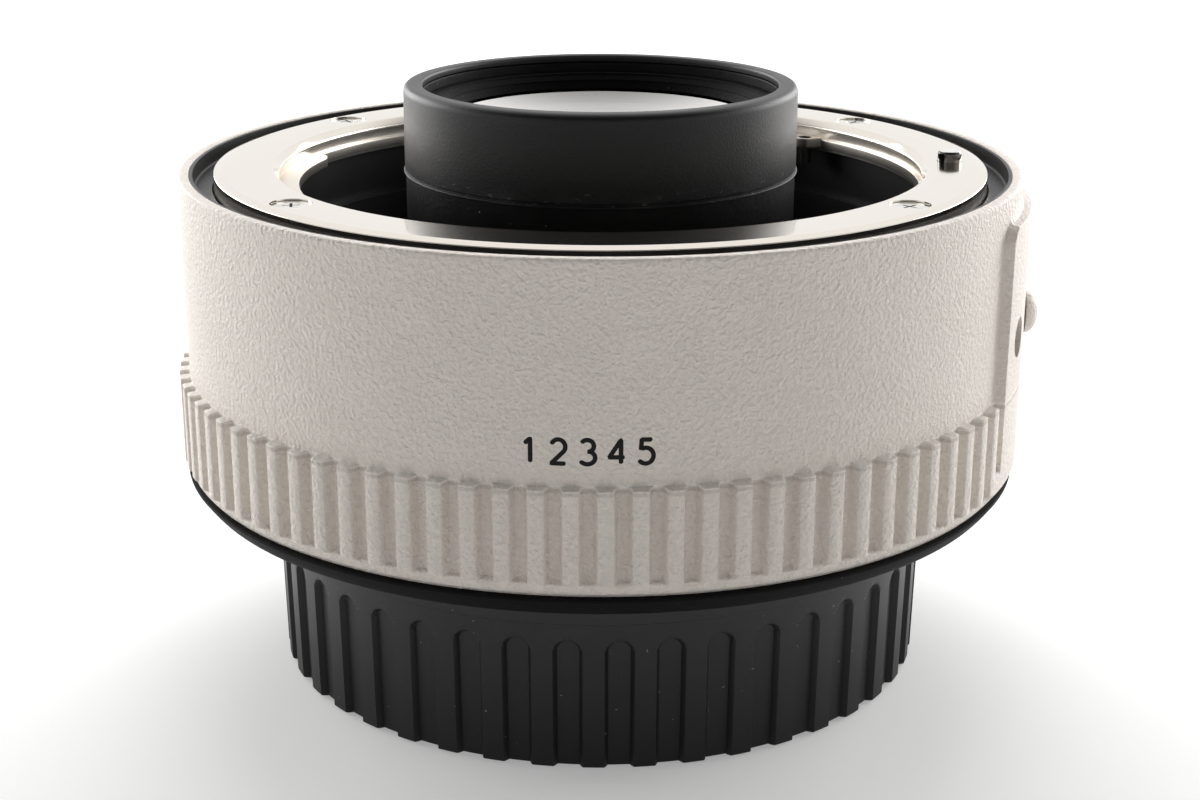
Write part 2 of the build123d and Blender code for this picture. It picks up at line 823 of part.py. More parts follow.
def release_slider():
    start = pad_azimuth - slider_lead_angle
    body = ring(slider_inner_radius, slider_radius, slider_foot, slider_top, slider_lead_angle + slider_trail_angle, start)
    body -= radial_pin(knob_stud_radius + slip, slider_inner_radius - overrun, slider_radius + overrun, pad_azimuth, knob_height)
    # the inclined slot draws the dowel down as the slider turns
    run = math.radians(release_angle) * (slider_inner_radius + slider_radius) / halves
    length = math.hypot(run, lock_pin_travel)
    tilt = math.degrees(math.atan2(lock_pin_travel, run))
    slot = SlotCenterToCenter(length, halves * (dowel_radius + dowel_clearance), rotation=90 + tilt)
    middle = lock_pin_azimuth - release_angle / halves
    height = dowel_height - lock_pin_travel / halves
    cut = extrude(slot, slider_thickness + halves * overrun)
    return body - radial(cut, middle, slider_inner_radius - overrun, height)


def release_knob():
    stud = radial_pin(knob_stud_radius, slider_inner_radius, rib_radius + knob_seat_gap + slip, pad_azimuth, knob_height)
    dome_curve = (knob_radius**2 + knob_dome**2) / (halves * knob_dome)
    middle_radius = knob_radius / halves
    middle_height = knob_dome - bulge(middle_radius, dome_curve)
    outline = [
        ThreePointArc((0, knob_dome), (middle_radius, middle_height), (knob_radius, 0)),
        Line((knob_radius, 0), (0, 0)),
        Line((0, 0), (0, knob_dome)),
    ]
    dome = revolve(Plane.XZ * make_face(Curve() + outline), Axis.Z)
    return stud + radial(dome, pad_azimuth, rib_radius + knob_seat_gap, knob_height)


def slider_guide():
    """A curved plate behind the pad with two rails that hold the slider."""
    start = pad_azimuth - guide_half_angle
    sweep_angle = halves * guide_half_angle
    low = slider_foot - slider_clearance
    high = slider_top + slider_clearance
    foot = low - guide_margin
    top = high + guide_margin / halves
    body = ring(guide_inner_radius, guide_radius, foot, top, sweep_angle, start)
    body += ring(slider_inner_radius, guide_inner_radius + slip, foot, low, sweep_angle, start)
    body += ring(slider_inner_radius, guide_inner_radius + slip, high, top, sweep_angle, start)
    body -= knob_slot(knob_stud_radius + knob_slot_clearance, slider_radius, guide_radius + overrun)
    for offset in (-pad_screw_angle, pad_screw_angle):
        hole = guide_screw_radius + thread_clearance
        body -= radial_pin(hole, slider_inner_radius, guide_radius + overrun, pad_azimuth + offset, knob_height)
    return body


def slider_guide_screws():
    recess_floor = rib_radius - pad_recess_depth
    head_top = recess_floor + guide_screw_head_height
    length = head_top - guide_inner_radius
    one = screw(
        guide_screw_radius,
        length,
        guide_screw_head_radius,
        guide_screw_head_height,
        cross_slot_width,
        cross_slot_depth,
    )
    screws = []
    for offset in (-pad_screw_angle, pad_screw_angle):
        screws.append(radial(one, pad_azimuth + offset, head_top, knob_height))
    return screws


def contact_places():
    """Azimuths of the front contact pins."""
    first = contact_azimuth - contact_pitch_angle * (contact_count - 1) / halves
    return [first + number * contact_pitch_angle for number in range(contact_count)]


def block_screw_places():
    return [contact_azimuth - block_screw_angle, contact_azimuth + block_screw_angle]


def front_contact_block():
    start = contact_azimuth - block_half_angle
    body = ring(block_inner_radius, block_outer_radius, block_foot, block_top, halves * block_half_angle, start)
    bore = post(pin_bore_radius, block_foot - overrun, block_top - pin_mouth_depth, contact_circle)
    mouth = post(pin_mouth_radius, block_foot, block_top + overrun, contact_circle)
    for copy in around(bore + mouth, contact_places()):
        body -= copy
    hole = post(block_screw_radius + thread_clearance, block_foot - overrun, block_top, contact_circle)
    recess_floor = block_top - block_screw_head_height - slip
    recess = post(block_screw_head_radius + slip, recess_floor, block_top + overrun, contact_circle)
    for copy in around(hole + recess, block_screw_places()):
        body -= copy
    return body


def contact_block_screws():
    head_top = block_top - slip
    one = screw(
        block_screw_radius,
        head_top - block_screw_foot,
        block_screw_head_radius,
        block_screw_head_height,
        cross_slot_width,
        cross_slot_depth,
    )
    return around(Pos(contact_circle, 0, head_top) * one, block_screw_places())


def front_contact_pins():
    pin = post(pin_radius, pin_foot, pin_top)
    pin = fillet(pin.edges().group_by(Axis.Z)[-1], pin_tip)
    pin += post(pin_collar_radius, pin_foot, pin_foot + pin_collar_height)
    return around(Pos(contact_circle, 0, 0) * pin, contact_places())


def contact_pin_springs():
    spring = coil(pin_spring_wire, pin_spring_radius, pin_spring_turns, block_foot, pin_foot)
    return around(Pos(contact_circle, 0, 0) * spring, contact_places())


def contact_backplate():
    inner = block_inner_radius + backplate_inset
    outer = block_outer_radius - backplate_inset
    start = contact_azimuth - block_half_angle
    body = ring(inner, outer, floor_top, block_foot, halves * block_half_angle, start)
    hole = post(block_screw_radius + thread_clearance, floor_top - overrun, block_top, contact_circle)
    for copy in around(hole, block_screw_places()):
        body -= copy
    return body


def flex_strip(circle, low, high):
    strip = Box(flex_width, flex_thickness, high - low, align=(Align.CENTER, Align.CENTER, Align.MIN))
    return Pos(0, -circle, low) * strip


def front_flex():
    return flex_strip(front_flex_circle, board_top + connector_height, floor_top)


def rear_flex():
    return flex_strip(rear_flex_circle, baffle_foot, board_foot - connector_height)


def board_connectors():
    shape = Box(connector_width, connector_depth, connector_height, align=(Align.CENTER, Align.CENTER, Align.MIN))
    upper = Pos(0, -front_flex_circle, board_top) * shape
    lower = Pos(0, -rear_flex_circle, board_foot - connector_height) * shape
    return [upper, lower]


def circuit_board():
    body = ring(board_inner_radius, board_radius, board_foot, board_top)
    hole = post(board_screw_radius + halves * thread_clearance, board_foot - overrun, board_top + overrun, post_circle)
    for copy in around(hole, post_azimuths):
        body -= copy
    return body


def board_chips():
    chips = []
    for azimuth, length, width in zip(chip_azimuths, chip_lengths, chip_widths):
        chip = Box(width, length, chip_height, align=(Align.CENTER, Align.CENTER, Align.MIN))
        chips.append(Rot(0, 0, azimuth) * Pos(chip_circle, 0, board_top) * chip)
    return chips


def upward_screw(radius, length, head_radius, head_height, face):
    """A screw whose head faces down at a height."""
    one = screw(radius, length, head_radius, head_height, cross_slot_width, cross_slot_depth)
    return Pos(0, 0, face) * Rot(180, 0, 0) * one


def board_screws():
    face = board_foot - board_screw_head_height
    length = board_screw_length + board_screw_head_height - slip
    one = upward_screw(board_screw_radius, length, board_screw_head_radius, board_screw_head_height, face)
    return around(Pos(post_circle, 0, 0) * one, post_azimuths)


def tube_flange_foot():
    return floor_foot - tube_flange_thickness


def tube_screw_top():
    return tube_flange_foot() - tube_screw_head_height + tube_screw_head_height + tube_screw_length


def lens_tube():
    shoulder_top = glass_seat()
    shoulder_foot = rear_glass_seat()
    front_bore = front_glass_radius + glass_slip
    rear_bore = rear_glass_radius + glass_slip
    thread_foot = ring_seat()
    thread_bore = front_ring_radius + slip
    points = [
        (rear_bore, tube_foot),
        (tube_rear_radius, tube_foot),
        (tube_rear_radius, tube_flange_foot()),
        (tube_flange_radius, tube_flange_foot()),
        (tube_flange_radius, floor_foot),
        (tube_radius, floor_foot),
        (tube_radius, tube_neck_foot),
        (tube_neck_radius, tube_neck_foot),
        (tube_neck_radius, tube_top()),
        (thread_bore, tube_top()),
        (thread_bore, thread_foot),
        (front_bore, thread_foot),
        (front_bore, shoulder_top),
        (shoulder_inner_radius, shoulder_top),
        (shoulder_inner_radius, shoulder_foot),
        (rear_bore, shoulder_foot),
    ]
    body = turned(points)
    hole = post(tube_screw_radius + halves * thread_clearance, tube_flange_foot() - overrun, floor_foot + overrun, tube_screw_circle)
    for copy in around(hole, tube_screw_azimuths):
        body -= copy
    return body


def glass_seat():
    """The front shoulder, where the cemented pair rests."""
    return lens_face - pair_below_face


def pair_rear_apex():
    """The camera side of the cemented pair, which rests on the shoulder's inner edge."""
    return glass_seat() - bulge(shoulder_inner_radius, element_3_rear_curve)


def cement_apex():
    return pair_rear_apex() + element_3_thickness


def element_2_apex():
    return cement_apex() + element_2_thickness


def element_1_rear_apex():
    return element_2_apex() + air_gap


def element_1_apex():
    return element_1_rear_apex() + element_1_thickness


def ring_seat():
    """Where the front threaded ring meets the rim of the hollow front element."""
    return element_1_apex() + bulge(front_glass_radius, element_1_front_curve) + glass_slip


def front_ring_top():
    return ring_seat() + front_ring_height


def tube_top():
    return front_ring_top() + tube_top_above_ring


def element_5_rear_apex():
    """The last element stands above the threaded ring at the tube's foot."""
    ring_top = tube_foot + spanner_slot_depth / halves + rear_ring_height
    return ring_top + glass_slip - bulge(rear_ring_inner_radius, element_5_rear_curve)


def element_5_apex():
    return element_5_rear_apex() + element_5_thickness


def element_4_rear_apex():
    return element_5_apex() + rear_air_gap


def element_4_apex():
    return element_4_rear_apex() + element_4_thickness


def rear_glass_seat():
    """The rear shoulder, which the fourth element's rim rests against."""
    return element_4_apex() + bulge(rear_glass_radius, element_4_front_curve)


def rear_ring_seat():
    """Where the rear threaded ring meets the last element."""
    return element_5_rear_apex() + bulge(rear_ring_inner_radius, element_5_rear_curve) - glass_slip


def lens_tube_screws():
    face = tube_flange_foot() - tube_screw_head_height
    length = tube_screw_length + tube_screw_head_height - slip
    one = upward_screw(tube_screw_radius, length, tube_screw_head_radius, tube_screw_head_height, face)
    return around(Pos(tube_screw_circle, 0, 0) * one, tube_screw_azimuths)


def tube_sleeve():
    inner = tube_neck_radius + slip
    lip_top = tube_neck_foot + sleeve_lip_height
    mouth_foot = tube_top() + slip
    sleeve_top = mouth_foot + sleeve_top_thickness
    points = [
        (inner, tube_neck_foot),
        (sleeve_lip_radius, tube_neck_foot),
        (sleeve_lip_radius, lip_top),
        (sleeve_radius, lip_top),
        (sleeve_radius, sleeve_top),
        (sleeve_mouth_radius, sleeve_top),
        (sleeve_mouth_radius, mouth_foot),
        (inner, mouth_foot),
    ]
    body = turned(points)
    mouth = body.edges().filter_by(GeomType.CIRCLE).group_by(Axis.Z)[-1].sort_by(SortBy.RADIUS)
    body = fillet(mouth[-1], sleeve_rounding)
    mouth = body.edges().filter_by(GeomType.CIRCLE).group_by(Axis.Z)[-1].sort_by(SortBy.RADIUS)
    return fillet(mouth[0], sleeve_rounding / halves)


def spanner_slots(radius, face, depth):
    """Two slots across a threaded ring for the tool that turns it."""
    return Pos(0, 0, face) * Box(halves * radius, spanner_slot_width, halves * depth)


def front_retaining_ring():
    foot = ring_seat()
    top = front_ring_top()
    points = [
        (front_ring_inner_radius, foot),
        (front_ring_radius, foot),
        (front_ring_radius, top),
        (front_ring_mouth_radius, top),
        (front_ring_inner_radius, foot + front_ring_land),
    ]
    slot = spanner_slots(front_ring_radius, top, spanner_slot_depth)
    return turned(points) - slot


def rear_retaining_ring():
    top = rear_ring_seat()
    foot = top - rear_ring_height
    body = ring(rear_ring_inner_radius, rear_glass_radius, foot, top)
    return body - spanner_slots(rear_glass_radius - spanner_slot_reach, foot, spanner_slot_depth)


def lens_element_1():
    return glass(front_glass_radius, element_1_apex(), -element_1_front_curve, element_1_rear_apex(), element_1_rear_curve)


def lens_element_2():
    return glass(front_glass_radius, element_2_apex(), -element_2_front_curve, cement_apex() + cement_gap, -cement_curve)


def lens_element_3():
    return glass(front_glass_radius, cement_apex(), cement_curve, pair_rear_apex(), element_3_rear_curve)


def lens_element_4():
    return glass(rear_glass_radius, element_4_apex(), -element_4_front_curve, element_4_rear_apex(), -element_4_rear_curve)


def lens_element_5():
    return glass(rear_glass_radius, element_5_apex(), element_5_front_curve, element_5_rear_apex(), element_5_rear_curve)


def front_spacer():
    low = element_2_apex() + bulge(front_glass_radius, element_2_front_curve)
    high = element_1_rear_apex() + bulge(front_glass_radius - spacer_wall, element_1_rear_curve)
    return ring(front_glass_radius - spacer_wall, front_glass_radius, low, high)


def rear_spacer():
    low = element_5_apex() - bulge(rear_glass_radius - spacer_wall, element_5_front_curve)
    high = element_4_rear_apex() - bulge(rear_glass_radius, element_4_rear_curve)
    return ring(rear_glass_radius - spacer_wall, rear_glass_radius, low, high)


def rear_plate():
    body = ring(rear_plate_inner_radius, chassis_flange_radius, rear_plate_foot, chassis_foot)
    hole = post(rear_screw_radius + thread_clearance, rear_plate_foot - overrun, chassis_foot + overrun, rear_screw_circle)
    for copy in around(hole, rear_screw_azimuths):
        body -= copy
    radius = rear_plate_screw_radius + thread_clearance
    through = post(radius, rear_plate_foot - overrun, chassis_foot + overrun, rear_plate_screw_circle)
    head_top = rear_plate_foot + rear_plate_screw_sink + rear_plate_screw_head_height
    sink = post(rear_plate_screw_head_radius + slip, rear_plate_foot - overrun, head_top, rear_plate_screw_circle)
    for copy in around(through + sink, rear_plate_screw_azimuths):
        body -= copy
    return body


def rear_plate_screws():
    face = rear_plate_foot + rear_plate_screw_sink
    one = upward_screw(
        rear_plate_screw_radius,
        rear_plate_screw_length,
        rear_plate_screw_head_radius,
        rear_plate_screw_head_height,
        face,
    )
    return around(Pos(rear_plate_screw_circle, 0, 0) * one, rear_plate_screw_azimuths)


def mount_shim():
    body = ring(shim_inner_radius, shim_radius, rear_plate_foot - shim_thickness, rear_plate_foot)
    hole = post(rear_screw_radius + halves * thread_clearance, rear_face, chassis_foot, rear_screw_circle)
    for copy in around(hole, rear_screw_azimuths):
        body -= copy
    return body


def rear_mount_ring():
    plate_top = rear_face + rear_ring_thickness
    step_top = plate_top - rear_step_height
    recess_floor = plate_top - rear_recess_depth
    points = [
        (rear_ring_bore, rear_face - male_tube_length),
        (male_tube_radius, rear_face - male_tube_length),
        (male_tube_radius, rear_face),
        (rear_ring_radius, rear_face),
        (rear_ring_radius, step_top),
        (rear_step_radius, step_top),
        (rear_step_radius, plate_top),
        (rear_recess_radius, plate_top),
        (rear_recess_radius, recess_floor),
        (rear_ring_bore, recess_floor),
    ]
    body = turned(points)
    lug_face = rear_face - male_lug_drop
    lug_foot = lug_face - male_lug_thickness
    lug = ring(male_tube_radius - slip, male_lug_radius, lug_foot, lug_face, male_lug_angle, -male_lug_angle / halves)
    for copy in around(lug, lug_azimuths):
        body += copy
    hole = post(rear_screw_radius + thread_clearance, rear_face - overrun, plate_top + overrun, rear_screw_circle)
    sink = post(rear_screw_head_radius + slip, rear_face - overrun, rear_face + rear_head_depth(), rear_screw_circle)
    for copy in around(hole + sink, rear_screw_azimuths):
        body -= copy
    return body


def rear_head_depth():
    return rear_screw_sink + rear_screw_head_height


def rear_mount_screws():
    face = rear_face + rear_screw_sink
    one = upward_screw(rear_screw_radius, rear_screw_length, rear_screw_head_radius, rear_screw_head_height, face)
    return around(Pos(rear_screw_circle, 0, 0) * one, rear_screw_azimuths)


def rear_cover():
    foot = rear_face + cover_foot_rise
    bore = rear_ring_radius + cover_bore_gap
    step_bore = rear_step_radius + slip
    step_foot = rear_face + rear_ring_thickness - rear_step_height
    points = [
        (bore, foot),
        (cover_foot_radius, foot),
        (cover_radius, barrel_foot - cover_foot_rounding),
        (cover_radius, barrel_foot),
        (step_bore, barrel_foot),
        (step_bore, step_foot),
        (bore, step_foot),
    ]
    body = turned(points)
    dot_height = (foot + barrel_foot) / halves
    dot_floor = cover_foot_radius - camera_dot_depth
    return body - radial_pin(camera_dot_radius + slip, dot_floor, cover_radius + overrun, index_azimuth, dot_height)


def camera_index_dot():
    foot = rear_face + cover_foot_rise
    dot_height = (foot + barrel_foot) / halves
    edge = (cover_foot_radius + cover_radius) / halves
    dot = radial_pin(camera_dot_radius, cover_foot_radius - camera_dot_depth, edge + camera_dot_proud, index_azimuth, dot_height)
    return fillet(dot.edges().group_by(Axis.Y)[-1], camera_dot_proud / halves)


def lens_index_dot():
    height = lens_face - lens_dot_below_face
    dot = radial_pin(lens_dot_radius, barrel_radius - lens_dot_depth, rib_radius, index_azimuth, height)
    return dot & ring(barrel_radius - halves * lens_dot_depth, barrel_radius, floor_top, lens_face)


def rear_baffle():
    plate_top = rear_plate_foot
    flange_foot = rear_face + rear_ring_thickness - rear_recess_depth
    window_top = baffle_foot + baffle_plate
    funnel_top = window_top + baffle_funnel_height - baffle_plate
    points = [
        (baffle_window_radius, baffle_foot),
        (baffle_radius, baffle_foot),
        (baffle_radius, flange_foot),
        (baffle_flange_radius, flange_foot),
        (baffle_flange_radius, plate_top),
        (tube_rear_radius + flex_thickness, plate_top),
        (tube_rear_radius + flex_thickness, funnel_top),
        (baffle_mouth_radius, funnel_top),
        (baffle_window_radius, window_top),
    ]
    body = turned(points)
    width = flex_width + halves * flex_slot_margin
    depth = flex_thickness + halves * flex_slot_margin
    height = plate_top - baffle_foot + halves * overrun
    slot = Box(width, depth, height, align=(Align.CENTER, Align.CENTER, Align.MIN))
    body -= Pos(0, -rear_flex_circle, baffle_foot - overrun) * slot
    hole_top = rear_block_foot + rear_block_screw_length + thread_clearance
    hole = post(rear_block_screw_radius + thread_clearance, baffle_foot - overrun, hole_top, rear_block_screw_circle)
    for copy in around(hole, rear_block_screw_places()):
        body -= copy
    return body


def rear_block_screw_places():
    return [contact_azimuth - rear_block_screw_angle, contact_azimuth + rear_block_screw_angle]


def rear_contact_block():
    start = contact_azimuth - rear_block_half_angle
    sweep_angle = halves * rear_block_half_angle
    body = ring(rear_block_inner_radius, rear_block_outer_radius, rear_block_foot, baffle_foot, sweep_angle, start)
    for copy in rear_pads(slip, rear_pad_thickness + overrun):
        body -= copy
    hole = post(rear_block_screw_radius + thread_clearance, rear_block_foot, baffle_foot + overrun, rear_block_screw_circle)
    head_top = rear_block_foot + rear_block_screw_head_height + slip
    sink = post(rear_block_screw_head_radius + slip, rear_block_foot - overrun, head_top, rear_block_screw_circle)
    for copy in around(hole + sink, rear_block_screw_places()):
        body -= copy
    return body


def rear_pads(margin, height):
    """The contact pads, or with a margin the pockets that they sit in."""
    first = contact_azimuth - rear_pad_pitch_angle * (rear_pad_count - 1) / halves
    top = rear_block_foot + rear_pad_thickness
    angle = math.degrees(margin / contact_circle)
    pads = []
    for number in range(rear_pad_count):
        start = first + number * rear_pad_pitch_angle - rear_pad_angle / halves - angle
        span = rear_pad_angle + halves * angle
        pads.append(ring(rear_pad_inner_radius - margin, rear_pad_outer_radius + margin, top - height, top, span, start))
    return pads


def rear_contact_pads():
    return rear_pads(0, rear_pad_thickness + rear_pad_proud)


def rear_contact_screws():
    face = rear_block_foot + slip
    length = rear_block_screw_length - slip
    one = upward_screw(
        rear_block_screw_radius,
        length,
        rear_block_screw_head_radius,
        rear_block_screw_head_height,
        face,
    )
    return around(Pos(rear_block_screw_circle, 0, 0) * one, rear_block_screw_places())


def rear_cap():
    points = [
        (0, cap_land_height),
        (cap_foot_radius - cap_foot_chamfer, cap_land_height),
        (cap_foot_radius, cap_land_height + cap_foot_chamfer),
        (cap_top_radius, cap_band_foot),
        (cap_band_radius, cap_band_foot),
        (cap_band_radius, cap_top),
        (cap_upper_bore, cap_top),
        (cap_upper_bore, cap_bore_step),
        (cap_lower_bore, cap_bore_step),
        (cap_lower_bore, cap_land_height + cap_floor),
        (0, cap_land_height + cap_floor),
    ]
    body = turned(points)
    side = (cap_foot_radius - cap_land_inset) * math.sqrt(halves)
    body += Box(side, side, cap_land_height + slip, align=(Align.CENTER, Align.CENTER, Align.MIN))
    lug_foot = rear_face - male_lug_drop + cap_lug_clearance
    lug_outer = cap_upper_bore + slip
    lug = ring(cap_lug_inner_radius, lug_outer, lug_foot, lug_foot + cap_lug_thickness, cap_lug_angle, -cap_lug_angle / halves)
    for copy in around(lug, gap_azimuths):
        body += copy
    draft = math.degrees(math.atan2(cap_draft, cap_band_foot - cap_land_height - cap_foot_chamfer))
    half_length = cap_groove_top - cap_land_height + overrun
    outline = SlotCenterToCenter(halves * (half_length - cap_groove_radius), halves * cap_groove_radius)
    cutter = Pos(overrun, 0, 0) * extrude(outline, cap_groove_depth + overrun)
    cutter = Pos(cap_foot_radius - cap_groove_depth, 0, cap_land_height) * Rot(0, 90 + draft, 0) * cutter
    pitch = full_turn / cap_groove_count
    first = -full_turn / 4 + cap_groove_phase_angle
    grooves = around(cutter, [first + number * pitch for number in range(cap_groove_count)])
    return body - grooves


def write(name, shape):
    """One file for one named piece or group of like pieces."""
    solids = shape if isinstance(shape, list) else [shape]
    group = Compound(children=[solid for item in solids for solid in item.solids()])
    export_step(group, os.path.join("parts", name + ".step"))


pieces = [
    outer_barrel,
    front_trim_ring,
    lens_mount_ring,
    lens_mount_screws,
    bayonet_spring,
    rotation_stop_pin,
    inner_chassis,
    chassis_floor,
    lens_lock_pin,
    lock_pin_dowel,
    lock_pin_spring,
    release_slider,
    release_knob,
    slider_guide,
    slider_guide_screws,
    front_contact_block,
    front_contact_pins,
    contact_pin_springs,
    contact_backplate,
    contact_block_screws,
    front_flex,
    rear_flex,
    circuit_board,
    board_chips,
    board_connectors,
    board_screws,
    lens_tube,
    lens_tube_screws,
    tube_sleeve,
    front_retaining_ring,
    rear_retaining_ring,
    lens_element_1,
    lens_element_2,
    lens_element_3,
    lens_element_4,
    lens_element_5,
    front_spacer,
    rear_spacer,
    rear_plate,
    rear_plate_screws,
    mount_shim,
    rear_mount_ring,
    rear_mount_screws,
    rear_cover,
    rear_baffle,
    rear_contact_block,
    rear_contact_pads,
    rear_contact_screws,
    rear_cap,
    lens_index_dot,
    camera_index_dot,
]

os.makedirs("parts", exist_ok=True)
for piece in pieces:
    write(piece.__name__, piece())
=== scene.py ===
import math

import bpy
import numpy as np
from mathutils import Matrix, Vector


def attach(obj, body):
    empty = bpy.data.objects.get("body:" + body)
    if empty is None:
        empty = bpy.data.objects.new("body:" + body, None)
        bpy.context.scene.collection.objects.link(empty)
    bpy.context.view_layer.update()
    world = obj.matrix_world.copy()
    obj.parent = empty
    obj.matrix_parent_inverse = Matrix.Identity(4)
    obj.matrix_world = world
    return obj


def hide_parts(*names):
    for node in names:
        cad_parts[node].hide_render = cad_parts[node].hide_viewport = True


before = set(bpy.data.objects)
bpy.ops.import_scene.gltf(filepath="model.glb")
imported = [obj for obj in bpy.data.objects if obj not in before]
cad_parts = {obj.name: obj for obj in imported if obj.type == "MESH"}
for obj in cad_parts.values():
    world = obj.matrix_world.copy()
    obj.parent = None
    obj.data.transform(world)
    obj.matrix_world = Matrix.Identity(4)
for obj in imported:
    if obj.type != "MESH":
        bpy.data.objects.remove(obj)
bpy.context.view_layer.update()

# The outer barrel: one aluminium casting, machined and then sprayed with a pebbled warm white lacquer.
# Its grip ribs and the raised pad at the side are part of the casting, so the lacquer runs over all of
# them. The socket class, the finish class and the mesh makers are first needed here.

MILLIMETRE = 0.001
FULL_TURN = 2 * math.pi


class Socket:
    """One output of a shader node. Sums on it add Math nodes to the finish that it belongs to."""

    def __init__(self, finish, output):
        self.finish = finish
        self.output = output

    def maths(self, operation, *others):
        """A Math node of that operation on this socket and on any others, sockets or numbers."""
        values = dict(enumerate((self, *others)))
        return self.finish.node("ShaderNodeMath", {"operation": operation}, values)

    def __add__(self, other):
        return self.maths("ADD", other)

    def __radd__(self, other):
        return self.maths("ADD", other)

    def __sub__(self, other):
        return self.maths("SUBTRACT", other)

    def __rsub__(self, other):
        return self.finish.node("ShaderNodeMath", {"operation": "SUBTRACT"}, {0: other, 1: self})

    def __mul__(self, other):
        return self.maths("MULTIPLY", other)

    def __rmul__(self, other):
        return self.maths("MULTIPLY", other)

    def between(self, low, high, start=0.0, end=1.0):
        """Goes smoothly from start at low to end at high, where low may be the larger of the two."""
        values = {"Value": self, "From Min": low, "From Max": high, "To Min": start, "To Max": end}
        return self.finish.node("ShaderNodeMapRange", {"interpolation_type": "SMOOTHSTEP"}, values)

    def band(self, start, full_from, full_to, end):
        """1 from full_from to full_to, and fading to 0 at start and at end."""
        return self.between(start, full_from) * self.between(end, full_to)


class Finish:
    """A surface finish. node() adds any shader node, and shine() sets the main shader's sockets."""

    def __init__(self, name):
        self.material = bpy.data.materials.new(name)
        self.material.use_nodes = True
        self.tree = self.material.node_tree
        self.tree.nodes.clear()
        self.sheet = self.tree.nodes.new("ShaderNodeOutputMaterial")
        self.shader = self.tree.nodes.new("ShaderNodeBsdfPrincipled")
        self.tree.links.new(self.shader.outputs[0], self.sheet.inputs["Surface"])

    def feed(self, place, value):
        """Links a socket to a place, or writes a value into it."""
        if isinstance(value, Socket):
            self.tree.links.new(value.output, place)
        elif isinstance(value, tuple) and len(value) == 3 and place.type == "RGBA":
            place.default_value = (*value, 1)
        else:
            place.default_value = value

    def node(self, kind, settings=None, sockets=None, output=0):
        """Any node: its settings are set before its sockets are fed."""
        made = self.tree.nodes.new(kind)
        for name, value in (settings or {}).items():
            setattr(made, name, value)
        for name, value in (sockets or {}).items():
            self.feed(made.inputs[name], value)
        return Socket(self, made.outputs[output])

    def shine(self, **sockets):
        """Sets the main shader's sockets: base_color is its Base Color, and so on."""
        for name, value in sockets.items():
            label = name.replace("_", " ").title().replace("Ior", "IOR")
            self.feed(self.shader.inputs[label], value)
        return self

    def place(self):
        """The point on the object, in metres."""
        return self.node("ShaderNodeTexCoord", output="Object")

    def axes(self, point):
        """The three coordinates of a point."""
        split = "ShaderNodeSeparateXYZ"
        return [self.node(split, sockets={0: point}, output=axis) for axis in range(3)]

    def noise(self, point, size, detail=2.0, roughness=0.5):
        """Cloudy noise from 0 to 1, its blobs about size metres across."""
        sockets = {"Vector": point, "Scale": 1 / size, "Detail": detail, "Roughness": roughness}
        return self.node("ShaderNodeTexNoise", sockets=sockets)

    def tint(self, factor, first, second):
        """The first colour where the factor is 0, and the second where it is 1."""
        colours = {0: factor, 6: first, 7: second}
        return self.node("ShaderNodeMix", {"data_type": "RGBA"}, colours, output=2)

    def stretched(self, point, across, along):
        """A point scaled by across in X and Y and by along in Z."""
        scale = (across, across, along)
        return self.node("ShaderNodeMapping", sockets={"Vector": point, "Scale": scale})

    def relief(self, height, depth):
        """A bump whose height of 1 is depth metres."""
        sockets = {"Height": height, "Distance": depth, "Strength": 1.0}
        return self.node("ShaderNodeBump", sockets=sockets)


def rounded(corners, steps=5):
    """An outline in millimetres from corners (radius, height, rounding). Each corner becomes an arc
    (1-t)^2 a + 2t(1-t) corner + t^2 b, with a and b at the rounding's distance along the two sides.
    """
    corners = np.array(corners, float)
    point = corners[:, :2]
    back = np.roll(point, 1, 0) - point
    ahead = np.roll(point, -1, 0) - point
    back_length = np.linalg.norm(back, axis=1, keepdims=True)
    ahead_length = np.linalg.norm(ahead, axis=1, keepdims=True)
    reach = np.minimum(corners[:, 2:], 0.45 * np.minimum(back_length, ahead_length))
    first = (point + back / back_length * reach)[:, None]
    last = (point + ahead / ahead_length * reach)[:, None]
    t = np.linspace(0, 1, steps)[None, :, None]
    arcs = (1 - t) ** 2 * first + 2 * t * (1 - t) * point[:, None] + t**2 * last
    outline = arcs.reshape(-1, 2)
    step = np.linalg.norm(outline - np.roll(outline, 1, 0), axis=1)
    return outline[step > 1e-6]


def grid_mesh(name, places, poles=False, sharp=35):
    """Mesh of a grid of places in millimetres, rows x columns x 3. Columns close into rings. Rows close
    too, like a bent tube, unless the first and the last row are poles that each shrink to a point.
    """
    rows, columns = places.shape[:2]
    index = np.arange(rows * columns).reshape(rows, columns)
    if poles:
        index[0] = index[0, 0]
        index[-1] = index[-1, 0]
        lower, upper = index[:-1], index[1:]
    else:
        lower, upper = index, np.roll(index, -1, 0)
    quads = np.stack([lower, np.roll(lower, -1, 1), np.roll(upper, -1, 1), upper], -1).reshape(-1, 4)
    used, quads = np.unique(quads, return_inverse=True)
    points = places.reshape(-1, 3)[used] * MILLIMETRE
    quads = quads.reshape(-1, 4)
    faces = [tuple(dict.fromkeys(quad)) for quad in quads.tolist()]
    mesh = bpy.data.meshes.new(name)
    mesh.from_pydata(points.tolist(), [], faces)
    mesh.shade_smooth()
    mesh.set_sharp_from_angle(angle=math.radians(sharp))
    return mesh


def around(radius, angle, height):
    """Places at a radius and an angle about the optical axis and at a height, as one array."""
    return np.stack(np.broadcast_arrays(radius * np.cos(angle), radius * np.sin(angle), height), -1)


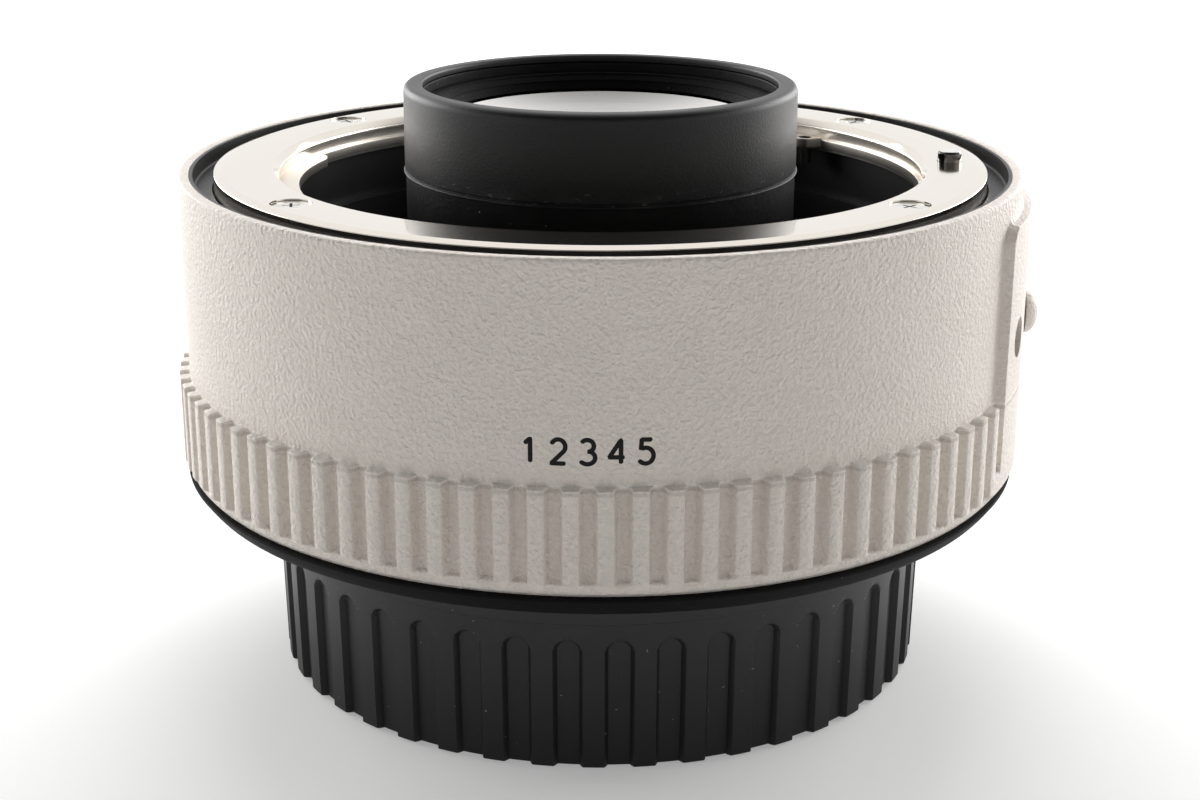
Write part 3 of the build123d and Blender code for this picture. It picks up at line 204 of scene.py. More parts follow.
def turned(name, outline, columns=360, poles=False, sharp=35):
    """A turned piece: its outline (radius, height) carried round the optical axis, facing outwards."""
    outline = np.array(outline, float)
    radius, height = outline[:, 0], outline[:, 1]
    area = np.sum(radius * np.roll(height, -1) - np.roll(radius, -1) * height)
    if area < 0:
        radius, height = radius[::-1], height[::-1]
    angle = np.linspace(0, FULL_TURN, columns, endpoint=False)
    return grid_mesh(name, around(radius[:, None], angle, height[:, None]), poles, sharp)


def moved(mesh, azimuth=0.0, reach=0.0, height=0.0, outward=False):
    """Carries a mesh to an azimuth in degrees, a radius and a height. Outward lays its axis along the
    radius.
    """
    turn = Matrix.Rotation(math.radians(azimuth), 4, "Z")
    shift = Matrix.Translation((reach * MILLIMETRE, 0, height * MILLIMETRE))
    lay = Matrix.Rotation(math.radians(90), 4, "Y") if outward else Matrix.Identity(4)
    mesh.transform(turn @ shift @ lay)
    return mesh


def joined(name, meshes):
    """One mesh from several, each kept whole."""
    points, faces, start = [], [], 0
    for mesh in meshes:
        points += [tuple(vertex.co) for vertex in mesh.vertices]
        faces += [tuple(start + corner for corner in face.vertices) for face in mesh.polygons]
        start = len(points)
    whole = bpy.data.meshes.new(name)
    whole.from_pydata(points, [], faces)
    whole.shade_smooth()
    whole.set_sharp_from_angle(angle=math.radians(35))
    return whole


def fitted(name, mesh, finish, body, slot, *nodes):
    """An object from a mesh in place: it rides on a body and stands for the CAD nodes named."""
    piece = bpy.data.objects.new(name, mesh)
    bpy.context.scene.collection.objects.link(piece)
    mesh.materials.clear()
    mesh.materials.append(finish.material)
    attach(piece, body)
    if nodes:
        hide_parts(*nodes)
    return piece


def bored(mesh, cutters, sharp=35):
    """The mesh less all the cutters, by an exact boolean."""
    blank = bpy.data.objects.new("blank", mesh)
    tool = bpy.data.objects.new("tool", joined("tool", cutters))
    for thing in (blank, tool):
        bpy.context.scene.collection.objects.link(thing)
    cut = blank.modifiers.new("cut", "BOOLEAN")
    cut.operation = "DIFFERENCE"
    cut.solver = "EXACT"
    cut.object = tool
    bpy.context.view_layer.update()
    graph = bpy.context.evaluated_depsgraph_get()
    result = bpy.data.meshes.new_from_object(blank.evaluated_get(graph))
    for thing in (blank, tool):
        bpy.data.objects.remove(thing)
    result.shade_smooth()
    result.set_sharp_from_angle(angle=math.radians(sharp))
    return result


def drum(radius, low, high, rounding=0.0, columns=64):
    """A plain upright cylinder with rounded rims, closed at both ends."""
    rims = rounded([(0, low, 0), (radius, low, rounding), (radius, high, rounding), (0, high, 0)])
    return turned("drum", rims, columns, poles=True)


def eased(value, low, high):
    """0 below low, 1 above high, and 3t^2 - 2t^3 between them."""
    t = np.clip((value - low) / (high - low), 0, 1)
    return t * t * (3 - 2 * t)


# Lengths are in millimetres and angles in degrees. The two fine lines are heights in metres at which
# each starts, is full, is still full and ends.

BARREL_RADIUS = 35.38
BARREL_FOOT = 17.92
BARREL_TOP = 43.0
RAISED_RADIUS = 36.235
RIB_COUNT = 90
RIB_PHASE = -89.3
RIB_HALF_SPAN = 1.05
RIB_FOOT = 19.05
RIB_TOP = 26.4
RIB_FLANK_START = 0.08
RIB_FLANK_SPAN = 0.5
RIB_BEVEL = 0.08
LIP_PROUD = 0.37
FOOT_PROUD = 0.07
RIM_FOOT = 42.4
RIM_ROUNDING = 0.55
CHANNEL_RADIUS = 34.5
CHANNEL_FLOOR = 41.2
RING_SEAT_RADIUS = 32.65
RING_SEAT_FLOOR = 40.4
BARREL_BORE_RADIUS = 33.6
PAD_AZIMUTH = -7.3
PAD_HALF_SPAN = 19.05
PAD_TOP = 40.7
PAD_FOOT = 20.6
PAD_CORNER = 1.5
PAD_EDGE_HALF = 0.1
KNOB_HEIGHT = 30.9
PAD_SCREW_OFFSET = 13.0
PAD_RECESS_RADIUS = 1.7
PAD_RECESS_FLOOR = 34.99
PAD_HOLE_RADIUS = 0.78
KNOB_TRAVEL = 5.0
# A painted highlight: a brighter fine line at the ribs' upper ends.
PAINTED_HIGHLIGHT_LINE = (0.02625, 0.02629, 0.02641, 0.02645)
# A darker fine line just below the painted highlight line.
DARKER_LINE = (0.02582, 0.02592, 0.02612, 0.02620)


def barrel_columns():
    """Azimuths of the mesh's columns: close together at the ribs' flanks and at the pad's corners."""
    pitch = 360 / RIB_COUNT
    local = np.array([-1.4, -1.14, -1.02, -0.95, -0.78, 0, 0.78, 0.95, 1.02, 1.14, 1.4])
    ribs = (RIB_PHASE + pitch * np.arange(RIB_COUNT)[:, None] + local).ravel()
    corner = np.arange(-0.1, 2.5, 0.14)
    left = PAD_AZIMUTH - PAD_HALF_SPAN + corner
    right = PAD_AZIMUTH + PAD_HALF_SPAN - corner
    columns = np.sort(np.concatenate([ribs, left, right]) % 360)
    return np.radians(columns[np.append(np.diff(columns) > 0.03, True)])


def raised_share(azimuth, height):
    """How far the wall stands out to the ribs' radius, from 0 to 1, at an azimuth in degrees and a
    height. A rib is a bevelled top whose flanks fall as (1-t)^3, steep at the edge and hollow below.
    The pad is a rounded rectangle: its share follows the signed distance to that outline. Below it a
    smooth stretch joins it to the ribs.
    """
    pitch = 360 / RIB_COUNT
    from_rib = (azimuth - RIB_PHASE + pitch / 2) % pitch - pitch / 2
    from_pad = (azimuth - PAD_AZIMUTH + 180) % 360 - 180
    ends = eased(height, RIB_FOOT - 0.35, RIB_FOOT) * (1 - eased(height, RIB_TOP - 0.12, RIB_TOP))
    off_rib = np.abs(from_rib)
    flank = np.clip((off_rib - RIB_HALF_SPAN + RIB_FLANK_START) / RIB_FLANK_SPAN, 0, 1)
    bevel = 1 - RIB_BEVEL * eased(off_rib, RIB_HALF_SPAN - 0.29, RIB_HALF_SPAN - 0.06)
    rib = bevel * (1 - flank) ** 3 * ends
    rib = rib * (np.abs(from_pad) > PAD_HALF_SPAN + RIB_HALF_SPAN)
    middle = (PAD_TOP + BARREL_FOOT) / 2
    half_width = np.radians(PAD_HALF_SPAN) * RAISED_RADIUS
    across = np.abs(np.radians(from_pad)) * RAISED_RADIUS - half_width + PAD_CORNER
    along = np.abs(height - middle) - (PAD_TOP - middle) + PAD_CORNER
    outside = np.hypot(np.maximum(across, 0), np.maximum(along, 0))
    outside = outside + np.minimum(np.maximum(across, along), 0)
    pad = 1 - eased(outside - PAD_CORNER, -PAD_EDGE_HALF, PAD_EDGE_HALF)
    side = 1 - eased(across - PAD_CORNER, -PAD_EDGE_HALF, PAD_EDGE_HALF)
    pad = np.where(height < middle, side, pad)
    reach = PAD_HALF_SPAN + pitch - RIB_HALF_SPAN
    stretch = (np.abs(from_pad) < reach) * (1 - eased(height, PAD_FOOT - 0.1, PAD_FOOT + 0.25))
    return np.maximum(np.maximum(rib, pad), stretch)


def barrel_mesh():
    """The casting's wall. Its outline is carried round the axis, and on the outside the radius is the
    barrel's radius plus the raised share times the ribs' height.
    """
    pad_rows = np.arange(PAD_TOP - PAD_CORNER, PAD_TOP + 0.15, 0.11)
    outside = np.concatenate([
        [BARREL_FOOT, 18.02, 18.25, 18.6, 18.8, 18.9, 19.0, 19.06, 19.12, 19.2, 19.7],
        [20.4, 20.5, 20.6, 20.7, 20.8, 20.9, 22.7, 25.6, 26.2, 26.27, 26.3, 26.33, 26.36, 26.39],
        [26.42, 26.5, 26.7, 28.8, 32.3, 36.3, 38.9],
        pad_rows,
        [41.1, 41.9, RIM_FOOT],
    ])
    lip = LIP_PROUD * eased(outside, 17.88, 18.3) * (1 - eased(outside, 18.9, 19.3))
    foot = FOOT_PROUD * (1 - eased(outside, 18.2, 18.8))
    base = BARREL_RADIUS + np.maximum(lip, foot)
    inside = rounded([
        (BARREL_RADIUS, RIM_FOOT, 0),
        (BARREL_RADIUS, BARREL_TOP, RIM_ROUNDING),
        (CHANNEL_RADIUS, BARREL_TOP, 0.14),
        (CHANNEL_RADIUS, CHANNEL_FLOOR, 0.05),
        (RING_SEAT_RADIUS, CHANNEL_FLOOR, 0.05),
        (RING_SEAT_RADIUS, RING_SEAT_FLOOR, 0.05),
        (BARREL_BORE_RADIUS, RING_SEAT_FLOOR, 0.05),
        (BARREL_BORE_RADIUS, BARREL_FOOT, 0),
    ], steps=4)
    inside = inside[(inside[:, 1] > RIM_FOOT) | (inside[:, 0] < BARREL_RADIUS - 0.01)]
    height = np.concatenate([outside, inside[:, 1]])
    azimuth = barrel_columns()
    share = raised_share(np.degrees(azimuth)[None, :], outside[:, None])
    low_slope = eased(outside, 17.9, RIB_FOOT)[:, None]
    top_radius = BARREL_RADIUS + (RAISED_RADIUS - BARREL_RADIUS) * (0.1 + 0.9 * low_slope)
    wall = np.maximum(base[:, None], BARREL_RADIUS + (top_radius - BARREL_RADIUS) * share)
    back = np.broadcast_to(inside[:, 0][:, None], (len(inside), len(azimuth)))
    radius = np.concatenate([wall, back])
    return grid_mesh("outer_barrel", around(radius, azimuth, height[:, None]), sharp=50)


def pad_cutters():
    """The two screw recesses of the pad, each a sink above a hole, and the slot that the knob's stud
    runs in: a circle of radius 1 whose two halves are drawn apart by half the travel each.
    """
    bores = ((PAD_RECESS_RADIUS, PAD_RECESS_FLOOR, 37), (PAD_HOLE_RADIUS, 33, 35.5))
    cutters = [
        moved(drum(radius, low, high), PAD_AZIMUTH + offset, 0, KNOB_HEIGHT, outward=True)
        for offset in (-PAD_SCREW_OFFSET, PAD_SCREW_OFFSET)
        for radius, low, high in bores
    ]
    turn = np.linspace(0, FULL_TURN, 48, endpoint=False)
    length = math.radians(KNOB_TRAVEL) * BARREL_RADIUS / 2
    across = np.cos(turn)
    along = np.sin(turn) + np.sign(np.sin(turn) + 1e-9) * length
    rows = np.array([0, 1, 1, 0])
    depth = np.array([32.5, 32.5, 37.5, 37.5])[:, None]
    places = np.broadcast_arrays(rows[:, None] * across, rows[:, None] * along, depth)
    slot = grid_mesh("slot", np.stack(places, -1), poles=True)
    cutters.append(moved(slot, PAD_AZIMUTH + KNOB_TRAVEL / 2, 0, KNOB_HEIGHT, outward=True))
    return cutters


def white_lacquer():
    """Warm white lacquer with a pebbled skin, with painted shade darkening the hollows of the skin. Two
    fine lines run round the casting where the ribs end, a darker one and above it a brighter one, which
    is a painted highlight.
    """
    coat = Finish("white_lacquer")
    point = coat.place()
    z = coat.axes(point)[2]
    pebble = coat.noise(point, 0.00034)
    fine = coat.noise(point, 0.00018)
    cloud = coat.noise(point, 0.006, 3.0, 0.6)
    skin = pebble * 0.75 + fine * 0.25
    colour = coat.tint(cloud.between(0.3, 0.7), (0.845, 0.778, 0.71), (0.87, 0.803, 0.735))
    # Painted highlight: a brighter fine line round the casting at the ribs' upper ends.
    colour = coat.tint(z.band(*PAINTED_HIGHLIGHT_LINE), colour, (0.97, 0.92, 0.86))
    # A darker fine line round the casting, just below the painted highlight.
    colour = coat.tint(z.band(*DARKER_LINE) * 0.45, colour, (0.50, 0.46, 0.41))
    # Painted shade: the hollows of the pebbled skin are darkened.
    colour = coat.tint(skin.between(0.56, 0.40) * 0.14, colour, (0.50, 0.46, 0.42))
    coat.shine(
        base_color=colour,
        roughness=0.42 + 0.12 * fine,
        normal=coat.relief(skin, 0.00028),
        specular_ior_level=0.4,
    )
    return coat


white = white_lacquer()
fitted(
    "barrel_casting",
    bored(barrel_mesh(), pad_cutters(), sharp=50),
    white,
    "barrel",
    "white_paint",
    "outer_barrel",
)

# The number on the front of the barrel: five plain digits, cut by a round-nosed engraver that leaves
# strokes of one width, and filled with black paint. A plain run of digits is used here.

NUMERAL_HEIGHT = 1.80
NUMERAL_WIDTH = 0.6
NUMERAL_PITCH = 2.08
NUMERAL_STROKE = 0.34
NUMERAL_FOOT = 28.1
NUMERAL_MIDDLE = -0.87
NUMERAL_PROUD = 0.018


def arc(centre_x, centre_y, half_width, half_height, start, end):
    """Points on an ellipse from one angle in degrees to another."""
    t = np.radians(np.linspace(start, end, 24))
    return np.stack([centre_x + half_width * np.cos(t), centre_y + half_height * np.sin(t)], 1)


def strokes():
    """One stroke for each digit, on a field one unit high and NUMERAL_WIDTH wide."""
    three = (arc(0.29, 0.75, 0.26, 0.25, 155, -80), arc(0.29, 0.26, 0.31, 0.27, 80, -155))
    five = ([(0.55, 1.0), (0.12, 1.0), (0.09, 0.56)], arc(0.28, 0.33, 0.31, 0.33, 128, -152))
    return [
        np.array([(0.1, 0.78), (0.34, 1.0), (0.34, 0.0)]),
        np.concatenate([arc(0.3, 0.7, 0.28, 0.3, 165, -38), [(0.02, 0.0), (0.6, 0.0)]]),
        np.concatenate(three),
        np.array([(0.46, 0.0), (0.46, 1.0), (0.0, 0.28), (0.62, 0.28)]),
        np.concatenate(five),
    ]


def stroke_mesh(line, start):
    """A half-round bead carried along a line on the barrel: flat ellipse sections square to the line,
    shrinking to a point at each end as a semicircle does.
    """
    pieces = np.linalg.norm(np.diff(line, axis=0), axis=1) * NUMERAL_HEIGHT
    run = np.concatenate([[0], np.cumsum(pieces)])
    distance = np.linspace(0, run[-1], 90)
    u = start + np.interp(distance, run, line[:, 0]) * NUMERAL_HEIGHT
    v = NUMERAL_FOOT + np.interp(distance, run, line[:, 1]) * NUMERAL_HEIGHT
    du, dv = np.gradient(u), np.gradient(v)
    size = np.hypot(du, dv)
    half = NUMERAL_STROKE / 2
    near_end = np.clip(np.minimum(distance, run[-1] - distance) / half, 0, 1)
    width = half * np.sqrt(1 - (1 - near_end) ** 2)
    turn = np.linspace(0, FULL_TURN, 10, endpoint=False)
    side = width[:, None] * np.cos(turn)
    across = u[:, None] - dv[:, None] / size[:, None] * side
    along = v[:, None] + du[:, None] / size[:, None] * side
    radius = BARREL_RADIUS + NUMERAL_PROUD * np.sin(turn)[None, :] * near_end[:, None] ** 0.5
    angle = np.radians(-90) + across / BARREL_RADIUS
    return grid_mesh("stroke", around(radius, angle, along), poles=True)


def black_fill():
    """Matt black paint in the engraved digits, slightly uneven."""
    paint = Finish("black_fill")
    grain = paint.noise(paint.place(), 0.0002, 2.0)
    paint.shine(
        base_color=paint.tint(grain, (0.003, 0.003, 0.003), (0.009, 0.009, 0.008)),
        roughness=0.5 + 0.2 * grain,
        specular_ior_level=0.2,
        normal=paint.relief(grain, 0.00002),
    )
    return paint


numeral_start = NUMERAL_MIDDLE - NUMERAL_WIDTH * NUMERAL_HEIGHT / 2
digits = [
    stroke_mesh(line, numeral_start + (place - 2) * NUMERAL_PITCH)
    for place, line in enumerate(strokes())
]
fitted("numerals", joined("numerals", digits), black_fill(), "barrel", "black_lacquer")

# The trim ring: thin black anodised aluminium, turned as an angle and pressed into the channel between
# the barrel's rim and the bayonet ring. Its upright wall lines the rim.

TRIM_RADIUS = 34.45
TRIM_INNER_RADIUS = 34.2
TRIM_TOP = 42.92
TRIM_FLOOR = 41.6
DUST_GREY = (0.32, 0.31, 0.29)
# The black that painted shade deepens to near the cap's foot.
PAINTED_SHADE_BLACK = (0.0005, 0.0005, 0.0005)


def satin_black(name, dark, light, roughness, grain_size, dust, shaded_from=0):
    """Black finish with fine grain and a scatter of dust: noise above a limit picks the specks. Below
    the height given last, in metres, painted shade deepens the black towards the foot, and the finish
    dulls there.
    """
    coat = Finish(name)
    point = coat.place()
    grain = coat.noise(point, grain_size, 2.0)
    cloud = coat.noise(point, 0.004, 3.0, 0.6)
    speck = coat.noise(point, 0.00035, 1.0, 0.3).between(0.80, 0.83) * dust
    colour = coat.tint(cloud.between(0.3, 0.7), (dark,) * 3, (light,) * 3)
    gloss = roughness + 0.12 * (cloud - 0.5) + 0.1 * (grain - 0.5)
    # Painted shade: below that height the black deepens towards the foot.
    if shaded_from:
        foot = coat.axes(point)[2].between(shaded_from, 0.0)
        colour = coat.tint(foot, colour, PAINTED_SHADE_BLACK)
        gloss = gloss + 0.2 * foot
    coat.shine(
        base_color=coat.tint(speck, colour, DUST_GREY),
        roughness=gloss,
        normal=coat.relief(grain, grain_size * 0.08),
    )
    return coat


black_trim = satin_black("black_trim", 0.003, 0.006, 0.34, 0.0003, 0.6)
black_trim.shine(specular_ior_level=0.22)
trim_outline = rounded([
    (RING_SEAT_RADIUS, CHANNEL_FLOOR, 0.03),
    (TRIM_RADIUS, CHANNEL_FLOOR, 0.03),
    (TRIM_RADIUS, TRIM_TOP, 0.04),
    (TRIM_INNER_RADIUS, TRIM_TOP, 0.04),
    (TRIM_INNER_RADIUS, TRIM_FLOOR, 0.25),
    (RING_SEAT_RADIUS, TRIM_FLOOR, 0.05),
])
trim_mesh = turned("trim_ring", trim_outline)
fitted("trim_ring", trim_mesh, black_trim, "barrel", "black_lacquer", "front_trim_ring")

# The lens mount ring: nickelled brass, turned and then lapped flat on its face. Three lugs stand into
# the throat below an undercut, and four recesses hold the screws.

RING_RADIUS = 32.5
RING_FOOT = 40.7
FACE = 43.1
THROAT_RADIUS = 27.0
LUG_INNER_RADIUS = 25.5
LUG_AZIMUTHS = (70, 190, 310)
SCREW_CIRCLE = 29.9
SCREW_AZIMUTHS = (37.5, 142.5, 217.5, 322.5)
RECESS_RADIUS = 1.65
RECESS_FLOOR = 42.15
PIN_AZIMUTH = -2.0
PIN_CIRCLE = 29.6


def lug_mesh(azimuth, inner, outer, low, high, half_span):
    """A bayonet lug: a slab with rounded edges bent round the axis. Its plan is a long rectangle whose
    ends are quarter rounds: the span shrinks towards the inner radius near the ends.
    """
    section = rounded([(inner, low, 0.12), (outer, low, 0), (outer, high, 0), (inner, high, 0.12)])
    t = np.linspace(-1, 1, 61)
    close = np.clip((1 - np.abs(t)) * half_span / 3.2, 0, 1)
    inset = (1 - np.sqrt(1 - (1 - close) ** 2)) * (outer - inner)
    inset[[0, -1]] = outer - inner
    share = (outer - section[:, 0]) / (outer - inner)
    radius = outer - share[None, :] * (outer - inner - inset[:, None])
    angle = np.radians(azimuth - half_span * t)
    height = np.broadcast_to(section[:, 1], radius.shape)
    middle = height[:1] * 0 + (low + high) / 2
    height = np.concatenate([middle, height, middle])
    radius = np.concatenate([radius[:1], radius, radius[-1:]])
    angle = np.concatenate([angle[:1], angle, angle[-1:]])[:, None]
    return grid_mesh("lug", around(radius, angle, height), poles=True)


def polished_nickel():
    """Polished nickel: a warm tone with faint wipe marks, uneven in gloss, and duller in the throat."""
    metal = Finish("polished_nickel")
    point = metal.place()
    z = metal.axes(point)[2]
    cloud = metal.noise(point, 0.005, 4.0, 0.65)
    smear = metal.noise(point, 0.0012, 3.0, 0.6)
    wiped = smear.between(0.55, 0.8) * 0.12
    metal.shine(
        base_color=metal.tint(wiped, (0.838, 0.78, 0.704), (0.55, 0.5, 0.42)),
        metallic=1.0,
        roughness=0.06 + 0.06 * cloud + 0.22 * z.between(0.0427, 0.0424),
    )
    return metal


nickel = polished_nickel()
ring_outline = rounded([
    (THROAT_RADIUS, RING_FOOT, 0.05),
    (RING_RADIUS, RING_FOOT, 0.05),
    (RING_RADIUS, 42.92, 0.06),
    (31.72, FACE, 0.12),
    (27.62, FACE, 0.1),
    (27.1, 42.52, 0.1),
    (27.1, 42.25, 0.05),
    (27.45, 42.25, 0.05),
    (27.45, 41.45, 0.05),
    (THROAT_RADIUS, 41.45, 0.08),
])
ring_cutters = [
    moved(drum(radius, low, high), azimuth, SCREW_CIRCLE)
    for azimuth in SCREW_AZIMUTHS
    for radius, low, high in ((RECESS_RADIUS, RECESS_FLOOR, 44.5), (1.0, 39.5, 42.5))
]
ring_cutters.append(moved(drum(1.05, 39.5, 44.5), PIN_AZIMUTH, PIN_CIRCLE))
ring_blank = bored(turned("ring", ring_outline, 480), ring_cutters)
lugs = [
    lug_mesh(azimuth, LUG_INNER_RADIUS, THROAT_RADIUS + 0.1, RING_FOOT, 41.6, 30)
    for azimuth in LUG_AZIMUTHS
]
ring_mesh = joined("bayonet_ring", [ring_blank, *lugs])
fitted("bayonet_ring", ring_mesh, nickel, "barrel", "nickel", "lens_mount_ring")

# The four screws of the bayonet ring: nickelled steel pan heads with a cross recess. Each sits in its
# turned recess, the head a little below the ring's face.

SCREW_TURNS = (20, 65, -30, 80)
SCREW_HEAD_TOP = 42.95


def cross_screw(radius, head_radius, head_height, length, slot):
    """A screw with its head's top at z = 0: a turned outline, less a cross of two tapered slots, each
    a rectangle whose size grows with the height.
    """
    outline = rounded([
        (0, -length, 0),
        (radius * 0.7, -length, 0.1),
        (radius, -length + 0.3, 0.1),
        (radius, -head_height, 0.05),
        (head_radius, -head_height, 0.05),
        (head_radius, -0.05, 0.03),
        (head_radius * 0.93, 0, 0.05),
        (0, 0, 0),
    ])
    blank = turned("screw", outline, 72, poles=True)
    depth = np.array([-1.0, -1.0, 1.0, 1.0]) * slot
    size = np.array([0, 0.75, 1.15, 0])
    square = np.array([(1, 1), (-1, 1), (-1, -1), (1, -1)])
    half_length = head_radius * 0.45
    half_width = slot * 0.34
    for along_x, along_y in ((half_length, half_width), (half_width, half_length)):
        places = np.broadcast_arrays(
            size[:, None] * square[:, 0] * along_x,
            size[:, None] * square[:, 1] * along_y,
            depth[:, None],
        )
        blank = bored(blank, [grid_mesh("bar", np.stack(places, -1), poles=True)])
    return blank


def polished_steel(name, bright, stained):
    """Nickelled steel, bright with a few stained patches where a random noise picks them."""
    metal = Finish(name)
    point = metal.place()
    cloud = metal.noise(point, 0.0008, 3.0)
    fine = metal.noise(point, 0.0001, 2.0)
    metal.shine(
        base_color=metal.tint(cloud.between(0.35, 0.7), bright, stained),
        metallic=1.0,
        roughness=0.12 + 0.08 * cloud,
        normal=metal.relief(fine, 0.000004),
    )
    return metal


steel = polished_steel("screw_steel", (0.82, 0.80, 0.77), (0.68, 0.65, 0.60))
flange_screws = []
for azimuth, turn in zip(SCREW_AZIMUTHS, SCREW_TURNS):
    screw = moved(cross_screw(0.95, 1.63, 0.65, 6.0, 0.35), turn)
    flange_screws.append(moved(screw, azimuth, SCREW_CIRCLE, SCREW_HEAD_TOP))
screws_mesh = joined("bayonet_screws", flange_screws)
fitted("bayonet_screws", screws_mesh, steel, "barrel", "screw_steel", "lens_mount_screws")

# The lock pin: hardened steel, ground round and bevelled at the tip. It stands in a bore of the bayonet
# ring and drops when the knob is pushed.

PIN_RADIUS = 1.0
PIN_FOOT = 34.7
PIN_TOP = 44.0
pin_outline = rounded([
    (0, PIN_FOOT, 0),
    (PIN_RADIUS, PIN_FOOT, 0.1),
    (PIN_RADIUS, PIN_TOP - 0.18, 0.05),
    (PIN_RADIUS - 0.18, PIN_TOP, 0.05),
    (0, PIN_TOP, 0),
])
pin_mesh = moved(turned("lens_lock_pin", pin_outline, 72, poles=True), PIN_AZIMUTH, PIN_CIRCLE)
# Painted reflection: the pin's dark colour stands for dark surroundings mirrored in bright steel. Its
# pale tip is a painted highlight.
pin_steel = polished_steel("pin_steel", (0.16, 0.15, 0.14), (0.10, 0.09, 0.08))
tip = pin_steel.axes(pin_steel.place())[2].between(0.04393, 0.04397)
pin_steel.shine(base_color=pin_steel.tint(tip, (0.14, 0.13, 0.12), (0.86, 0.84, 0.80)))
fitted("locking_pin", pin_mesh, pin_steel, "lock_pin", "screw_steel", "lens_lock_pin")

# The release knob: a turned aluminium dome on a stud, lacquered like the barrel. The stud runs in the
# pad's slot, so the knob slides round the barrel. The dome is half an ellipse turned about its axis.

KNOB_RADIUS = 1.8
KNOB_SEAT = 36.36
KNOB_RISE = 1.1
STUD_RADIUS = 0.75
STUD_FOOT = 31.4
dome_height = np.linspace(0, 1, 16)
dome = np.stack([KNOB_RADIUS * np.sqrt(1 - dome_height**2), KNOB_SEAT + KNOB_RISE * dome_height], 1)
stud = [(0, STUD_FOOT), (STUD_RADIUS, STUD_FOOT), (STUD_RADIUS, KNOB_SEAT), (1.7, KNOB_SEAT)]
knob_outline = np.concatenate([stud, dome])
knob_outline[-1, 0] = 0
knob_mesh = turned("knob", knob_outline, 72, poles=True)
knob_mesh = moved(knob_mesh, PAD_AZIMUTH, 0, KNOB_HEIGHT, outward=True)
fitted("knob", knob_mesh, white, "release", "knob_metal", "release_knob")

# The two screws that hold the slider's guide: blackened steel with a cross recess. They sit at the
# bottom of the pad's two round recesses.

GUIDE_SCREW_TURNS = (35, 10)
GUIDE_SCREW_TOP = 35.49
guide_screws = []
for offset, turn in zip((-PAD_SCREW_OFFSET, PAD_SCREW_OFFSET), GUIDE_SCREW_TURNS):
    screw = moved(cross_screw(0.7, 1.45, 0.5, 2.8, 0.4), turn)
    screw = moved(screw, height=GUIDE_SCREW_TOP)
    guide_screws.append(moved(screw, PAD_AZIMUTH + offset, 0, KNOB_HEIGHT, outward=True))
black_steel = satin_black("black_steel", 0.02, 0.04, 0.35, 0.0002, 0.2)
guide_mesh = joined("guide_screws", guide_screws)
fitted("guide_screws", guide_mesh, black_steel, "barrel", "black_screw", "slider_guide_screws")

# The lens tube: black anodised aluminium, turned in one piece with the flange that holds it to the
# chassis. The front glass sits inside its mouth.

tube_outline = rounded([
    (12.55, 17.2, 0.05),
    (15.0, 17.2, 0.2),
    (15.0, 28.55, 0.1),
    (19.5, 28.55, 0.1),
    (19.5, 30.3, 0.1),
    (16.53, 30.3, 0.05),
    (16.53, 42.28, 0.05),
    (15.85, 42.28, 0.05),
    (15.85, 49, 0.05),
    (14.9, 49, 0.1),
    (14.9, 47, 0.02),
    (13.65, 47, 0.02),
    (13.65, 34.3, 0.02),
    (11.8, 34.3, 0.05),
    (11.8, 29.47, 0.05),
    (12.55, 29.47, 0.02),
])
tube_black = satin_black("tube_black", 0.004, 0.008, 0.5, 0.0004, 0.7)
tube_black.shine(specular_ior_level=0.12)
tube_mesh = turned("optics_tube", tube_outline)
fitted("optics_tube", tube_mesh, tube_black, "barrel", "flat_black", "lens_tube")

# The sleeve on the tube's front end: black rubber, moulded with a thin lip at its foot and a rounded
# rim, then pushed on and glued.


def sleeve_rubber():
    """Satin black rubber: a dry, finely ground skin with wipe marks round it and dust at its foot, and a
    painted sheen that lightens the top of its rim.
    """
    skin = Finish("sleeve_rubber")
    point = skin.place()
    x, y, z = skin.axes(point)
    grain = skin.noise(point, 0.0002, 3.0, 0.6)
    wipe = skin.noise(skin.stretched(point, 1.0, 6.0), 0.009, 4.0, 0.6)
    bloom = skin.noise(point, 0.004, 4.0, 0.6)
    foot = z.between(0.0440, 0.0426)
    crumbs = skin.noise(skin.stretched(point, 1.0, 2.4), 0.0009, 3.0, 0.6).between(0.62, 0.7) * foot
    colour = skin.tint(wipe.between(0.4, 0.75), (0.002, 0.002, 0.0022), (0.0055, 0.0055, 0.006))
    colour = skin.tint(foot * bloom.between(0.4, 0.8) * 0.5, colour, (0.05, 0.05, 0.05))
    colour = skin.tint(crumbs * 0.5, colour, (0.16, 0.155, 0.15))
    # Painted sheen: the top of the rim is lightened where light glances off it.
    painted_rim_sheen = z.between(0.0493, 0.04962)
    colour = skin.tint(painted_rim_sheen * (0.4 + 0.5 * bloom), colour, (0.06, 0.06, 0.06))
    skin.shine(
        base_color=colour,
        roughness=0.40 + 0.16 * (wipe - 0.5) + 0.08 * grain,
        normal=skin.relief(grain + crumbs * 0.8, 0.00002),
        specular_ior_level=0.4,
    )
    return skin


sleeve_outline = rounded([
    (16.45, 42.3, 0.02),
    (16.7, 42.3, 0.06),
    (16.7, 42.45, 0.06),
    (16.5, 42.5, 0.02),
    (16.5, 42.6, 0.02),
    (16.6, 42.66, 0.05),
    (16.6, 49.66, 0.7),
    (15.0, 49.66, 0.35),
    (15.0, 49.06, 0.05),
    (15.9, 49.06, 0.02),
], steps=8)
sleeve_mesh = turned("sleeve", sleeve_outline)
fitted("sleeve", sleeve_mesh, sleeve_rubber(), "barrel", "sleeve_rubber", "tube_sleeve")

# The retaining ring: black aluminium with a thread outside, screwed down on the front glass. Its coned
# face runs down to the glass in two fine steps.

